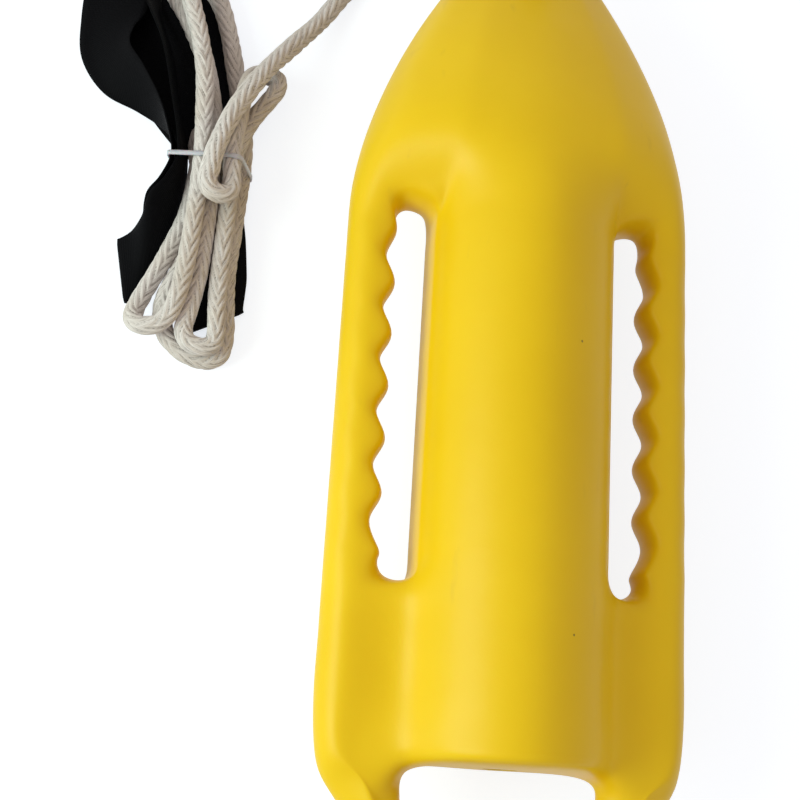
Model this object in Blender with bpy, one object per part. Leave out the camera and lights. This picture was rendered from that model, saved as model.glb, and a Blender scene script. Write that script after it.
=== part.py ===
"""Rescue can: a hollow moulded float with three grips, its tow rope, shoulder strap and tie.

Metres, +Z up. The can lies on its belly with its nose towards +Y. The origin is on the
surface that it lies on, under the middle of the can. The rope and strap lie at its left.
"""

import math

import bmesh
import bpy
import numpy as np
from mathutils import Vector

# Can, overall
CAN_LENGTH = 0.720
CAN_WIDTH = 0.252
CAN_HEIGHT = 0.150
LAND_DEPTH = 0.002  # how deep the belly's round is cut to its flat land
TUBE_HALF_WIDTH = 0.0665
WALL = 0.0045
EDGE_ROUND = 0.009  # how far a grip's rounding reaches in from its edge
RIM_ROUND = 0.011  # the same at the front ends of the side slots

# Tail grip
TAIL_ROUND = 0.098  # length of the rounded tail end
TAIL_BAR = 0.034
TAIL_GAP = 0.038
TAIL_GAP_SIDE = 0.060  # from the can's edge to the gap's side
TAIL_GAP_CORNER = 0.017
TAIL_EDGE_SHARE = 0.3  # share of the tail grip's width that the rounding of each of its edges takes
TUBE_END_ROUND = 0.012

# Side grips and their slots
SLOT_TO_TUBE_END = 0.119
GROOVES = 6
GROOVE_PITCH = 0.0377
GROOVE_DEPTH = 0.0072
SLOT_END = 0.019  # from the slot's end to the first ridge
GRIP_WIDTH = 0.036  # from the can's edge to the tops of the ridges
GRIP_RISE = 0.0198
GRIP_EDGE_RISE = 0.0168
TUBE_FOOT_RISE = 0.025  # height of the tube's foot on the wing, above the middle plane
TUBE_FOOT_OUT = 0.0035

# Nose and its eye
TAB_RISE = 0.018
TAB_STARTS = 0.88  # share of the nose's length where its tab starts
NOSE_OUTLINE = (1.7, 0.87)  # powers of the outline in plan
NOSE_CROWN = (2.0, 1.4)  # powers of the outline from the side
ROUND_BEFORE = 0.016  # the section turns from tube and wings to one ellipse over this length before
ROUND_AFTER = 0.056  # the slots' front end and this length after it
BELLY_LAG = 0.030  # how much further forward the section turns on the underside
FOOT_LEAD = 0.004  # how much further back it turns at the tube's foot
END_DRAFT = 0.007  # how far forward of its upper rim a slot's front end has its lower rim
TIP_ROUND = 0.017
EYE_RADIUS = 0.009
EYE_MOUTH = 0.0015  # rounding of the eye's mouths
EYE_MOUTH_LINE = ((0.0, -2.2), (0.3, -1.0), (2.2, 1.0))  # its section: out and up, in mouths
EYE_SETBACK = 0.031

# Vent and its plug, in the tube's end wall
BORE_RADIUS = 0.0063
SHANK_CLEARANCE = 0.0003
SHANK_LENGTH = 0.018
HEAD_RADIUS = 0.011
HEAD_THICKNESS = 0.005
HEAD_SINK = 0.002  # from the tube's end to the head's face
SEAL_THICKNESS = 0.0018
BOSS_RADIUS = 0.016
BOSS_LENGTH = 0.028
SEAT = 0.0003  # gap between pieces that touch

# Rope and strap
ROPE_DIAMETER = 0.013
PITCH = ROPE_DIAMETER + 0.0005  # between strands that lie against each other
STRAP_WIDTH = 0.050
STRAP_THICKNESS = 0.0018
TIE_WIDTH = 0.0034
TIE_THICKNESS = 0.0012

# Places along the can that follow from the sizes
TAIL_END = -CAN_LENGTH / 2
NOSE_TIP = CAN_LENGTH / 2
HALF_WIDTH = CAN_WIDTH / 2
SLOT_RIDGE_X = HALF_WIDTH - GRIP_WIDTH
TAIL_GAP_HALF_WIDTH = HALF_WIDTH - TAIL_GAP_SIDE
TUBE_RISE = (CAN_HEIGHT + LAND_DEPTH) / 2
AXIS_Z = CAN_HEIGHT - TUBE_RISE
GAP_REAR = TAIL_END + TAIL_BAR
TUBE_END = GAP_REAR + TAIL_GAP
SLOT_BACK = TUBE_END + SLOT_TO_TUBE_END
SLOT_LENGTH = GROOVES * GROOVE_PITCH + 2 * SLOT_END
SLOT_FRONT = SLOT_BACK + SLOT_LENGTH
NOSE_LENGTH = NOSE_TIP - SLOT_FRONT
EYE_Y = NOSE_TIP - EYE_SETBACK
PLUG_DEPTH = HEAD_SINK + HEAD_THICKNESS + SEAL_THICKNESS + 2 * SEAT

# Columns of the top surface, from the middle to the edge, as shares of the half width
COLUMNS = (
    0.0,
    TUBE_HALF_WIDTH * math.sin(math.radians(45)) / HALF_WIDTH,
    (TUBE_HALF_WIDTH + TUBE_FOOT_OUT) / HALF_WIDTH,
    (SLOT_RIDGE_X + EDGE_ROUND) / HALF_WIDTH,
    (HALF_WIDTH - EDGE_ROUND) / HALF_WIDTH,
)
# Heights of those columns above the middle plane where the tube stands on the wings
WING_HEIGHTS = (
    TUBE_RISE,
    TUBE_RISE * math.cos(math.radians(45)),
    TUBE_FOOT_RISE,
    GRIP_RISE,
    GRIP_EDGE_RISE,
)


def clear_scene():
    for obj in list(bpy.data.objects):
        bpy.data.objects.remove(obj)


def material(name, color, roughness, metallic=0.0):
    mat = bpy.data.materials.new(name)
    mat.use_nodes = True
    shader = mat.node_tree.nodes["Principled BSDF"]
    shader.inputs["Base Color"].default_value = (*color, 1.0)
    shader.inputs["Roughness"].default_value = roughness
    shader.inputs["Metallic"].default_value = metallic
    return mat


def mesh_object(name, points, faces, mat=None, inset=0.0):
    mesh = bpy.data.meshes.new(name)
    mesh.from_pydata([tuple(p) for p in points], [], faces)
    bm = bmesh.new()
    bm.from_mesh(mesh)
    bmesh.ops.recalc_face_normals(bm, faces=bm.faces)
    bm.to_mesh(mesh)
    bm.free()
    obj = bpy.data.objects.new(name, mesh)
    bpy.context.collection.objects.link(obj)
    if mat is not None:
        mesh.materials.append(mat)
    mesh.shade_smooth()
    normals = [v.normal.copy() for v in mesh.vertices]
    for v, normal in zip(mesh.vertices, normals):
        v.co -= inset * normal
    return obj


def as_cutter(obj):
    obj.hide_render = True
    obj.display_type = "WIRE"
    return obj


def boolean(obj, other, operation):
    mod = obj.modifiers.new(other.name, "BOOLEAN")
    mod.operation = operation
    mod.solver = "EXACT"
    mod.object = other


def turned(name, profile, mat=None, steps=24, smooth=True):
    """A solid of revolution about its own Z from (radius, height) points that run up its outside."""
    bm = bmesh.new()
    low = bm.verts.new((0, 0, profile[0][1]))
    high = bm.verts.new((0, 0, profile[-1][1]))
    rings = []
    for radius, height in profile:
        ring = []
        for k in range(steps):
            angle = 2 * math.pi * k / steps
            ring.append(bm.verts.new((radius * math.cos(angle), radius * math.sin(angle), height)))
        rings.append(ring)
    for k in range(steps):
        m = (k + 1) % steps
        bm.faces.new((low, rings[0][m], rings[0][k]))
        bm.faces.new((high, rings[-1][k], rings[-1][m]))
        for lower, upper in zip(rings, rings[1:]):
            bm.faces.new((lower[k], lower[m], upper[m], upper[k]))
    mesh = bpy.data.meshes.new(name)
    bm.to_mesh(mesh)
    bm.free()
    obj = bpy.data.objects.new(name, mesh)
    bpy.context.collection.objects.link(obj)
    if mat is not None:
        mesh.materials.append(mat)
    if smooth:
        mesh.shade_smooth()
        mesh.set_sharp_from_angle(angle=math.radians(40))
    return obj


# The can's body


def nose_share(y):
    return min(max((y - SLOT_FRONT) / NOSE_LENGTH, 0.0), 1.0)


def half_width(y):
    """Half the can's width at a place along it, seen from above."""
    a, b = NOSE_OUTLINE
    return HALF_WIDTH * (1 - nose_share(y) ** a) ** b


def rise(y):
    """The height of the can's crown above its middle plane."""
    a, b = NOSE_CROWN
    share = min(nose_share(y) / TAB_STARTS, 1.0)
    return TAB_RISE + (TUBE_RISE - TAB_RISE) * (1 - share**a) ** b


def roundness(y):
    """0 where the tube stands on flat wings, 1 where the nose's section is one ellipse."""
    share = (y - SLOT_FRONT + ROUND_BEFORE) / (ROUND_BEFORE + ROUND_AFTER)
    share = min(max(share, 0.0), 1.0)
    return share * share * (3 - 2 * share)


def column_height(k, y, lag=0.0):
    winged = WING_HEIGHTS[k] * rise(y) / TUBE_RISE
    ellipse = rise(y) * math.sqrt(1 - COLUMNS[k] ** 2)
    return winged + (ellipse - winged) * roundness(y - lag + FOOT_LEAD * (k == 2))


def tail_edge(angle, inset=0.0):
    """A point on the rounded tail's edge: 0 degrees at the side and 90 at the end."""
    c, s = math.cos(math.radians(angle)), math.sin(math.radians(angle))
    x, y = HALF_WIDTH * c, TAIL_END + TAIL_ROUND * (1 - s)
    normal = Vector((c / HALF_WIDTH, -s / TAIL_ROUND)).normalized()
    return x - inset * normal.x, y - inset * normal.y


def groove_rows():
    """Places along a slot where a ridge (0) or a groove (1) is, from the back."""
    first = SLOT_BACK + SLOT_END
    rows = [(SLOT_BACK + 0.6 * SLOT_END, 0)]
    for k in range(2 * GROOVES + 1):
        rows.append((first + k * GROOVE_PITCH / 2, k % 2 + 0.2 * (k == 2 * GROOVES)))
    rows.append((SLOT_FRONT - 0.4 * SLOT_END, 0.3))
    return rows


class Quads:
    """The can's surface as quads: a sheet above, one below, and walls between them."""

    def __init__(self):
        self.points = []
        self.faces = []
        self.top = {}

    def add(self, x, y, z):
        self.points.append((x, y, z))
        return len(self.points) - 1

    def put(self, key, upper, lower=None):
        x, y, z = lower or upper
        self.top[key] = (self.add(*upper), self.add(x, y, -z))

    def patch(self, *keys):
        self.faces.append([self.top[k][0] for k in keys])
        self.faces.append([self.top[k][1] for k in reversed(keys)])

    def wall(self, keys, lines):
        """Walls round a closed loop of top points; lines holds, for each, its points from top to bottom."""
        columns = []
        for key, line in zip(keys, lines):
            columns.append([self.top[key][0], *[self.add(*point) for point in line], self.top[key][1]])
        for left, right in zip(columns, columns[1:] + columns[:1]):
            for j in range(len(left) - 1):
                self.faces.append([left[j], right[j], right[j + 1], left[j + 1]])


def mirrored(line):
    """A wall's points down to the middle plane, carried on below it."""
    return line + [(x, y, -z) for x, y, z in reversed(line[:-1])]


def can_surface(front_rows=None):
    """Points that the can's surface passes through, and its quads. front_rows leaves out the tip's rows."""
    q = Quads()
    grooves = groove_rows()
    back_edge, front_edge = SLOT_BACK - EDGE_ROUND, SLOT_FRONT + RIM_ROUND
    tube_edge = TUBE_END + TUBE_END_ROUND
    wing_rows = [tube_edge + (back_edge - tube_edge) * share for share in (0.0, 0.3, 0.6, 0.83)]
    nose_shares = (0.13, 0.23, 0.35, 0.48, 0.60, 0.71, 0.80, 0.885)
    nose_rows = [SLOT_FRONT + NOSE_LENGTH * share for share in nose_shares]
    rows = wing_rows + [back_edge] + [y for y, _ in grooves] + [front_edge] + nose_rows
    slot_first, slot_last = len(wing_rows), len(wing_rows) + len(grooves) + 1
    tip_y = NOSE_TIP - TIP_ROUND
    rows.append(tip_y)
    if front_rows is not None:
        rows = rows[: len(rows) - front_rows]
    last = len(rows) - 1

    for i, y in enumerate(rows):
        wide = half_width(y)
        in_slot = slot_first < i < slot_last
        for k in range(5):
            pair = []
            for lag in (0.0, BELLY_LAG):
                x, z, at = COLUMNS[k] * wide, column_height(k, y, lag), y
                if slot_first < i <= slot_last + 1 and k == 2:
                    # Beside a slot on the tube's circle, and ahead of it step by step further out
                    foot = TUBE_HALF_WIDTH * math.sqrt(1 - (TUBE_FOOT_RISE / TUBE_RISE) ** 2)
                    x = foot + (x - foot) * max(0, 0.35 + 0.4 * (i - slot_last))
                if in_slot and k == 3:
                    groove = grooves[i - slot_first - 1][1]
                    x = SLOT_RIDGE_X + EDGE_ROUND + GROOVE_DEPTH * groove * 0.85
                    z -= 0.001
                if k == 4 and wide > 0.9 * HALF_WIDTH:
                    x = wide - EDGE_ROUND
                if i == 0 and k >= 2:
                    at = TUBE_END + 0.35 * TUBE_END_ROUND
                if i == 0 and k == 2:
                    x = TAIL_GAP_HALF_WIDTH + 0.6 * EDGE_ROUND
                if i == 0 and k == 4:
                    x, at = tail_edge(TAIL_FIRST, EDGE_ROUND)
                if i == slot_last and k in (2, 3) and lag:
                    at += END_DRAFT
                if i == last and front_rows is None:
                    z *= 0.86
                    x *= 0.92
                pair.append((x, at, z))
            for side in (1, -1) if k else (1,):
                q.put((i, k * side), *[(x * side, at, z) for x, at, z in pair])

    # The strip that runs round the tail: its inner, middle and outer lines
    for s, (angle, inner) in enumerate(tail_stations()):
        if s == 0:
            continue
        (mx, my), (nx, ny) = inner
        inset = TAIL_EDGE_SHARE * math.dist((mx, my), tail_edge(angle))
        ox, oy = tail_edge(angle, inset)
        ix, iy = mx + nx * inset, my + ny * inset
        middle = ((ix + ox) / 2, (iy + oy) / 2, GRIP_RISE)
        lines = ((ix, iy, GRIP_EDGE_RISE), middle, (ox, oy, GRIP_EDGE_RISE))
        for c, (x, y, z) in enumerate(lines):
            q.put(("strip", s, c, 1), (x, y, z))
            if s < TAIL_STEPS:
                q.put(("strip", s, c, -1), (-x, y, z))
            else:
                q.top["strip", s, c, -1] = q.top["strip", s, c, 1]
    for c in range(3):
        q.top["strip", 0, c, 1] = q.top[0, c + 2]
        q.top["strip", 0, c, -1] = q.top[0, -c - 2]

    for i in range(last):
        for k in range(-4, 4):
            if slot_first <= i < slot_last and k in (-3, 2):
                continue
            q.patch((i, k), (i, k + 1), (i + 1, k + 1), (i + 1, k))
    for side in (1, -1):
        for s in range(TAIL_STEPS):
            for c in range(2):
                keys = [("strip", s + 1, c), ("strip", s + 1, c + 1), ("strip", s, c + 1), ("strip", s, c)]
                keys = [(*key, side) for key in keys]
                q.patch(*(keys if side > 0 else reversed(keys)))

    slot_walls(q, grooves, slot_first, slot_last)
    tail_walls(q)
    outer_walls(q, rows, last, front_rows is None)
    return np.array(q.points), q.faces


TAIL_FIRST = 14.0  # degrees round the tail's edge where its strip starts
TAIL_STEPS = 6


def tail_stations():
    """Outer angle, and inner middle-plane point with the direction away from the gap, round the tail."""
    x, r = TAIL_GAP_HALF_WIDTH, TAIL_GAP_CORNER
    rear = GAP_REAR
    half = math.sqrt(0.5)
    return [
        (TAIL_FIRST, ((x, TUBE_END), (1, 0))),
        (27.0, ((x, (TUBE_END + rear) / 2), (1, 0))),
        (40.0, ((x - 0.06 * r, rear + 0.62 * r), (0.94, -0.34))),
        (52.0, ((x - 0.38 * r, rear + 0.16 * r), (half, -half))),
        (64.0, ((x - 1.1 * r, rear), (0.1, -1))),
        (77.0, ((x - 2.4 * r, rear), (0, -1))),
        (90.0, ((0.0, rear), (0, -1))),
    ]


def slot_walls(q, grooves, first, last):
    for side in (1, -1):
        keys, lines = [], []
        ends = {
            (first, 2): (TUBE_HALF_WIDTH + 0.0045, SLOT_BACK),
            (first, 3): (SLOT_RIDGE_X - 0.0045, SLOT_BACK + 0.0015),
            (last, 3): (SLOT_RIDGE_X - 0.0035, SLOT_FRONT + 0.0015),
            (last, 2): (TUBE_HALF_WIDTH + 0.0065, SLOT_FRONT),
        }
        order = [(i, 3) for i in range(first, last + 1)] + [(i, 2) for i in range(last, first - 1, -1)]
        for i, k in order:
            keys.append((i, k * side))
            if (i, k) in ends:
                x, y = ends[i, k]
            else:
                y, groove = grooves[i - first - 1]
                x = TUBE_HALF_WIDTH
                if k == 3:
                    x = SLOT_RIDGE_X + GROOVE_DEPTH * groove
            line = []
            for rim in q.top[i, k * side]:
                rim_x, rim_y, rim_z = q.points[rim]
                across = 0.29 if k == 3 else 0.15
                along = 0.7 if i == last and rim_z < 0 else across
                line.append((x * side + across * (rim_x - x * side), y + along * (rim_y - y), 0.7 * rim_z))
            line.insert(1, (x * side, y, 0.0))
            lines.append(line)
        q.wall(keys, lines)


def tail_walls(q):
    """Walls of the gap: the tube's end, then round the grip, each with one line above the middle plane."""
    r = TAIL_GAP_CORNER
    keys, lines = [], []
    shoulder = column_height(1, TUBE_END) - 0.6 * TUBE_END_ROUND
    high = [TUBE_RISE - TUBE_END_ROUND, shoulder, 0.6 * GRIP_EDGE_RISE]
    for k in (-2, -1, 0, 1, 2):
        n = abs(k)
        side = 1 if k > 0 else -1
        x = (0.0, 0.62 * TUBE_HALF_WIDTH, TAIL_GAP_HALF_WIDTH - 0.12 * r)[n]
        mid_x = (0.0, 0.52 * TUBE_HALF_WIDTH, TAIL_GAP_HALF_WIDTH - 0.25 * r)[n]
        y = TUBE_END - (0.0, 0.0, 0.25 * r)[n]
        keys.append((0, k))
        lines.append([(x * side, y + 0.0012 * (n < 2), high[n]), (mid_x * side, y, 0.0)])
    for s in range(1, TAIL_STEPS + 1):
        (x, y), _ = tail_stations()[s][1]
        keys.append(("strip", s, 0, 1))
        lines.append([(x, y, 0.6 * GRIP_EDGE_RISE), (x, y, 0.0)])
    for s in range(TAIL_STEPS - 1, 0, -1):
        (x, y), _ = tail_stations()[s][1]
        keys.append(("strip", s, 0, -1))
        lines.append([(-x, y, 0.6 * GRIP_EDGE_RISE), (-x, y, 0.0)])
    for j, line in enumerate(lines):
        for m, (x, y, z) in enumerate(line[:-1]):
            (tx, ty, _) = q.points[q.top[keys[j]][0]]
            if j > 4:
                line[m] = (x + 0.25 * (tx - x), y + 0.25 * (ty - y), z)
    q.wall(keys, [mirrored(line) for line in lines])


def outer_walls(q, rows, last, whole):
    keys, lines = [], []
    for i in range(0, last + 1):
        keys.append((i, 4))
        if i == 0:
            x, y = tail_edge(TAIL_FIRST)
        else:
            x, y = edge_point(rows[i])
        lines.append([(x, y, 0.0)])
    if whole:
        keys.pop()
        lines.pop()
    for k in range(4 if whole else 3, -5 if whole else -4, -1):
        keys.append((last, k))
        if whole:
            angle = math.radians(90 - 19.0 * k)
            wide = half_width(rows[last])
            lines.append([(wide * math.cos(angle), rows[last] + TIP_ROUND * math.sin(angle), 0.0)])
        else:
            x, y, _ = q.points[q.top[last, k][0]]
            lines.append([(x, y + 0.002, 0.0)])
    for i in range(last - 1 if whole else last, -1, -1):
        keys.append((i, -4))
        if i == 0:
            x, y = tail_edge(TAIL_FIRST)
        else:
            x, y = edge_point(rows[i])
        lines.append([(-x, y, 0.0)])
    for s in range(1, TAIL_STEPS + 1):
        x, y = tail_edge(tail_stations()[s][0])
        keys.append(("strip", s, 2, -1))
        lines.append([(-x, y, 0.0)])
    for s in range(TAIL_STEPS - 1, 0, -1):
        x, y = tail_edge(tail_stations()[s][0])
        keys.append(("strip", s, 2, 1))
        lines.append([(x, y, 0.0)])
    q.wall(keys, lines)


def edge_point(y):
    if y < TAIL_END + TAIL_ROUND:
        share = 1 - (y - TAIL_END) / TAIL_ROUND
        return HALF_WIDTH * math.sqrt(1 - share * share), y
    return half_width(y), y


def smooth_cage(points, faces):
    """The control points whose subdivided surface passes through the given points."""
    n = len(points)
    edges, across = [set() for _ in range(n)], [[] for _ in range(n)]
    for face in faces:
        for j, v in enumerate(face):
            edges[v].update((face[j - 1], face[(j + 1) % 4]))
            across[v].append(face[(j + 2) % 4])
    limit = np.zeros((n, n))
    for v in range(n):
        valence = len(edges[v])
        whole = valence * (valence + 5)
        limit[v, v] += valence * valence / whole
        for e in edges[v]:
            limit[v, e] += 4 / whole
        for f in across[v]:
            limit[v, f] += 1 / whole
    return np.linalg.solve(limit, points)


def can_shell(mat):
    points, faces = can_surface()
    cage = smooth_cage(points, faces)
    cage[:, 2] += AXIS_Z
    shell = mesh_object("can_shell", cage, faces, mat)
    rounding = shell.modifiers.new("rounding", "SUBSURF")
    rounding.levels = 1
    rounding.render_levels = 1

    below = 0.02
    land = box_cutter("land_cutter", (0, 0, -below / 2), (2 * CAN_WIDTH, 2 * CAN_LENGTH, below))
    boolean(shell, land, "DIFFERENCE")

    upper = [(EYE_RADIUS + EYE_MOUTH * out, TAB_RISE + EYE_MOUTH * up) for out, up in EYE_MOUTH_LINE]
    lower = [(radius, -height) for radius, height in reversed(upper)]
    eye = as_cutter(turned("eye_cutter", lower + upper))
    eye.location = (0, EYE_Y, AXIS_Z)
    boolean(shell, eye, "DIFFERENCE")

    points, faces = can_surface(front_rows=3)
    points[:, 2] += AXIS_Z
    cavity = as_cutter(mesh_object("cavity_cutter", points, faces, inset=WALL))
    for v in cavity.data.vertices:
        v.co.z = max(v.co.z, WALL)
    boss = as_cutter(turned("boss_cutter", [(BOSS_RADIUS, -WALL), (BOSS_RADIUS, BOSS_LENGTH)], smooth=False))
    boss.location = (0, TUBE_END, AXIS_Z)
    boss.rotation_euler = (-math.pi / 2, 0, 0)
    boolean(cavity, boss, "DIFFERENCE")
    boolean(shell, cavity, "DIFFERENCE")

    # The vent runs from its counterbore through the boss into the hollow
    out = 0.01
    bore = as_cutter(
        turned(
            "bore_cutter",
            [
                (HEAD_RADIUS + 2 * SHANK_CLEARANCE, -out),
                (HEAD_RADIUS + 2 * SHANK_CLEARANCE, PLUG_DEPTH),
                (BORE_RADIUS, PLUG_DEPTH),
                (BORE_RADIUS, BOSS_LENGTH + out),
            ],
            smooth=False,
        )
    )
    bore.location = (0, TUBE_END, AXIS_Z)
    bore.rotation_euler = (-math.pi / 2, 0, 0)
    boolean(shell, bore, "DIFFERENCE")
    return shell


def box_cutter(name, centre, size):
    bm = bmesh.new()
    bmesh.ops.create_cube(bm, size=1.0)
    bmesh.ops.scale(bm, vec=size, verts=bm.verts)
    mesh = bpy.data.meshes.new(name)
    bm.to_mesh(mesh)
    bm.free()
    obj = bpy.data.objects.new(name, mesh)
    bpy.context.collection.objects.link(obj)
    obj.location = centre
    return as_cutter(obj)


# The vent plug and its seal


def vent_plug(mat):
    """Plug with a round head, a hexagon socket and a plain shank, on the vent's axis."""
    seal = SEAL_THICKNESS + 2 * SEAT
    shank = BORE_RADIUS - SHANK_CLEARANCE
    plug = turned(
        "vent_plug",
        [
            (HEAD_RADIUS - 0.0008, -seal - HEAD_THICKNESS),
            (HEAD_RADIUS, -seal - HEAD_THICKNESS + 0.0008),
            (HEAD_RADIUS, -seal),
            (shank, -seal),
            (shank, SHANK_LENGTH - 0.001),
            (shank - 0.001, SHANK_LENGTH),
        ],
        mat,
    )
    plug.location = (0, TUBE_END + PLUG_DEPTH, AXIS_Z)
    plug.rotation_euler = (-math.pi / 2, 0, 0)
    socket = as_cutter(turned("socket_cutter", [(0.0045, -0.01), (0.0045, 0.0032)], steps=6))
    socket.location = (0, TUBE_END + HEAD_SINK, AXIS_Z)
    socket.rotation_euler = (-math.pi / 2, 0, 0)
    boolean(plug, socket, "DIFFERENCE")
    return plug


def plug_seal(mat):
    """Flat rubber ring between the plug's head and the counterbore's floor."""
    outer, inner = HEAD_RADIUS - 0.0005, BORE_RADIUS + SHANK_CLEARANCE
    seal = turned("plug_seal", [(outer, 0), (outer, SEAL_THICKNESS)], mat)
    hole = as_cutter(turned("seal_cutter", [(inner, -0.002), (inner, SEAL_THICKNESS + 0.002)]))
    for obj in (seal, hole):
        obj.location = (0, TUBE_END + HEAD_SINK + HEAD_THICKNESS + SEAT, AXIS_Z)
        obj.rotation_euler = (-math.pi / 2, 0, 0)
    boolean(seal, hole, "DIFFERENCE")
    return seal


# The rope. Its strands pass the tie side by side in fixed places, and fan out in bights above and below it.

WAIST_Y = 0.134
UNDER_ROPE = 0.0070  # what lies under the rope at the tie: the tie and two layers of strap
HEX = PITCH * math.sqrt(3) / 2
FIRST = UNDER_ROPE + ROPE_DIAMETER / 2
WAIST = {
    "left_1": (-0.2318, FIRST),
    "middle_1": (-0.2183, FIRST),
    "right_1": (-0.2048, FIRST),
    "left_2": (-0.22505, FIRST + HEX),
    "right_2": (-0.21155, FIRST + HEX),
    "left_3": (-0.2318, FIRST + 2 * HEX),
    "right_3": (-0.2100, FIRST + HEX + PITCH),
    "top": (-0.2240, FIRST + HEX + 2 * PITCH + TIE_THICKNESS + 5 * SEAT),
}


def between(values, t):
    """Height at a share t of a bight, through values at its start, quarter, tip, three quarters and end."""
    place = t * (len(values) - 1)
    j = min(int(place), len(values) - 2)
    f = place - j
    f = f * f * (3 - 2 * f)
    return values[j] + (values[j + 1] - values[j]) * f


def bight(start, end, reach, lean, swell, heights, blunt=0.05, late=1, steps=12):
    """Points of one bight that leaves the tie at start and comes back to it at end.

    reach is how far its tip is from the tie, lean how far the tip stands aside, and swell
    how far its first strand goes out to the left and its second to the right. late moves the
    widest place towards the tip, and blunt flattens the tip.
    """
    (x0, z0), (x1, z1) = WAIST[start], WAIST[end]
    widest = math.atan(math.sqrt(late + 1))
    most = 2 * math.sin(widest) ** (late + 1) * math.cos(widest)
    line = []
    for j in range(1, steps + 1):
        t = j / steps
        a = math.pi * t
        out = (math.sin(a) + blunt * math.sin(3 * a)) / (1 - blunt)
        part = math.sin(2 * a) * math.sin(a) ** late / most
        share = (1 - math.cos(a)) / 2
        part *= swell[0] + (swell[1] - swell[0]) * share
        x = (x0 + x1) / 2 + (x0 - x1) / 2 * math.cos(a) - part + lean * out * out
        line.append((x, WAIST_Y + reach * out, between((z0, *heights, z1), t)))
    return line


# Where the free rope goes over into the hank, and the hank into the strap's knot
HANK_STARTS = (-0.1761, 0.2371, 0.0300)
HANK_ENDS = (-0.2650, 0.3160, 0.0400)
LEAD_ROUTE = (
    (0.0000, EYE_Y, AXIS_Z + TAB_RISE + 0.0015),
    (0.0000, EYE_Y, 0.0650),
    (0.0000, EYE_Y, 0.0480),
    (-0.0030, EYE_Y, 0.0310),
    (-0.0160, EYE_Y + 0.0020, 0.0160),
    (-0.0400, 0.3360, 0.0082),
    (-0.0700, 0.3410, 0.0069),
    (-0.1000, 0.3370, 0.0069),
    (-0.1290, 0.3130, 0.0080),
    (-0.1525, 0.2740, 0.0150),
)
HANK_START = (
    (-0.1890, 0.2160, 0.0400),
    (-0.2020, 0.1915, 0.0485),
    (-0.2150, 0.1640, 0.0525),
)
HANK_END = (
    (-0.2340, 0.1640, 0.0395),
    (-0.2370, 0.2000, 0.0405),
    (-0.2445, 0.2350, 0.0385),
    (-0.2540, 0.2650, 0.0365),
    (-0.2605, 0.2950, 0.0385),
)


def hank_route():
    low = 0.0131
    line = [HANK_STARTS, *HANK_START]
    line.append((WAIST["top"][0], WAIST_Y, WAIST["top"][1]))
    line += bight("top", "right_3", -0.031, 0.000, (0.0065, 0.0030), (0.051, 0.046, 0.041), blunt=0, steps=8)
    aside = (0.0300, 0.0180, 0.0225)
    line += bight("right_3", "right_2", 0.083, 0.0205, (0.0055, 0.0160), aside, blunt=0, late=2)
    line += bight("right_2", "left_2", -0.140, -0.003, (-0.004, -0.014), (0.0240, 0.0250, 0.0260), late=3)
    up = (0.0275, 0.0220, 0.0125, 0.010, 0.010, 0.0125, 0.013)
    line += bight("left_2", "right_1", 0.167, -0.046, (0.013, 0.013), up, blunt=0, late=3)
    line += bight("right_1", "middle_1", -0.145, -0.006, (0.003, -0.042), (low, 0.0070, low), blunt=0)
    line += bight("middle_1", "left_1", 0.036, 0.002, (-0.0075, -0.0050), (low, low, low), blunt=0)
    line += bight("left_1", "left_3", -0.131, -0.024, (0.015, 0.012), (low, 0.0245, 0.0310))
    line += [*HANK_END, HANK_ENDS]
    return line


def smooth_line(points, step, bend=0.0):
    """Points about a step apart on a smooth curve through the given ones.

    Where the curve turns they stand closer, by bend steps for each radian.
    """
    p = np.array(points, float)
    p = np.vstack([2 * p[0] - p[1], p, 2 * p[-1] - p[-2]])
    fine = []
    for j in range(1, len(p) - 2):
        a, b, c, d = p[j - 1 : j + 3]
        for t in np.linspace(0, 1, 24, endpoint=False):
            square = 2 * a - 5 * b + 4 * c - d
            cube = 3 * b - a - 3 * c + d
            fine.append(0.5 * (2 * b + (c - a) * t + square * t**2 + cube * t**3))
    fine.append(p[-2])
    fine = np.array(fine)
    legs = np.diff(fine, axis=0)
    lengths = np.linalg.norm(legs, axis=1)
    turns = np.einsum("ij,ij->i", legs[1:], legs[:-1]) / (lengths[1:] * lengths[:-1])
    turns = np.concatenate([[0.0], np.arccos(np.clip(turns, -1, 1))])
    along = np.concatenate([[0.0], np.cumsum(lengths / step + bend * turns)])
    count = max(2, round(along[-1]))
    places = np.linspace(0, along[-1], count + 1)
    return np.stack([np.interp(places, along, fine[:, k]) for k in range(3)], axis=1)


def parted(line, diameter, gap, rounds=400):
    """The line with its strands moved apart, smoothly along them, to stand a gap clear of each other.

    They stay above the surface and, where the strap lies under them, above the strap.
    """
    start = np.array(line)
    moved = np.zeros_like(start)
    on_strap = (start[:, 1] > 0.016) & (start[:, 1] < 0.24)
    lowest = diameter / 2 + SEAT + np.where(on_strap, 0.0062, 0.0)
    step = np.linalg.norm(start[1] - start[0])
    apart = math.ceil(2.6 * diameter / step)
    first, second = np.triu_indices(len(start), apart)
    for _ in range(rounds):
        place = start + moved
        away = place[first] - place[second]
        distance = np.linalg.norm(away, axis=1)
        near = distance < diameter + gap
        push = away[near] * ((diameter + gap - distance[near]) / distance[near] * 0.3)[:, None]
        np.add.at(moved, first[near], push)
        np.add.at(moved, second[near], -push)
        moved[1:-1] += 0.25 * (moved[2:] + moved[:-2] - 2 * moved[1:-1])
        moved[0] = 0
        moved[-1] = 0
        moved[:, 2] = np.maximum(moved[:, 2], lowest - start[:, 2])
    return start + moved


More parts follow.
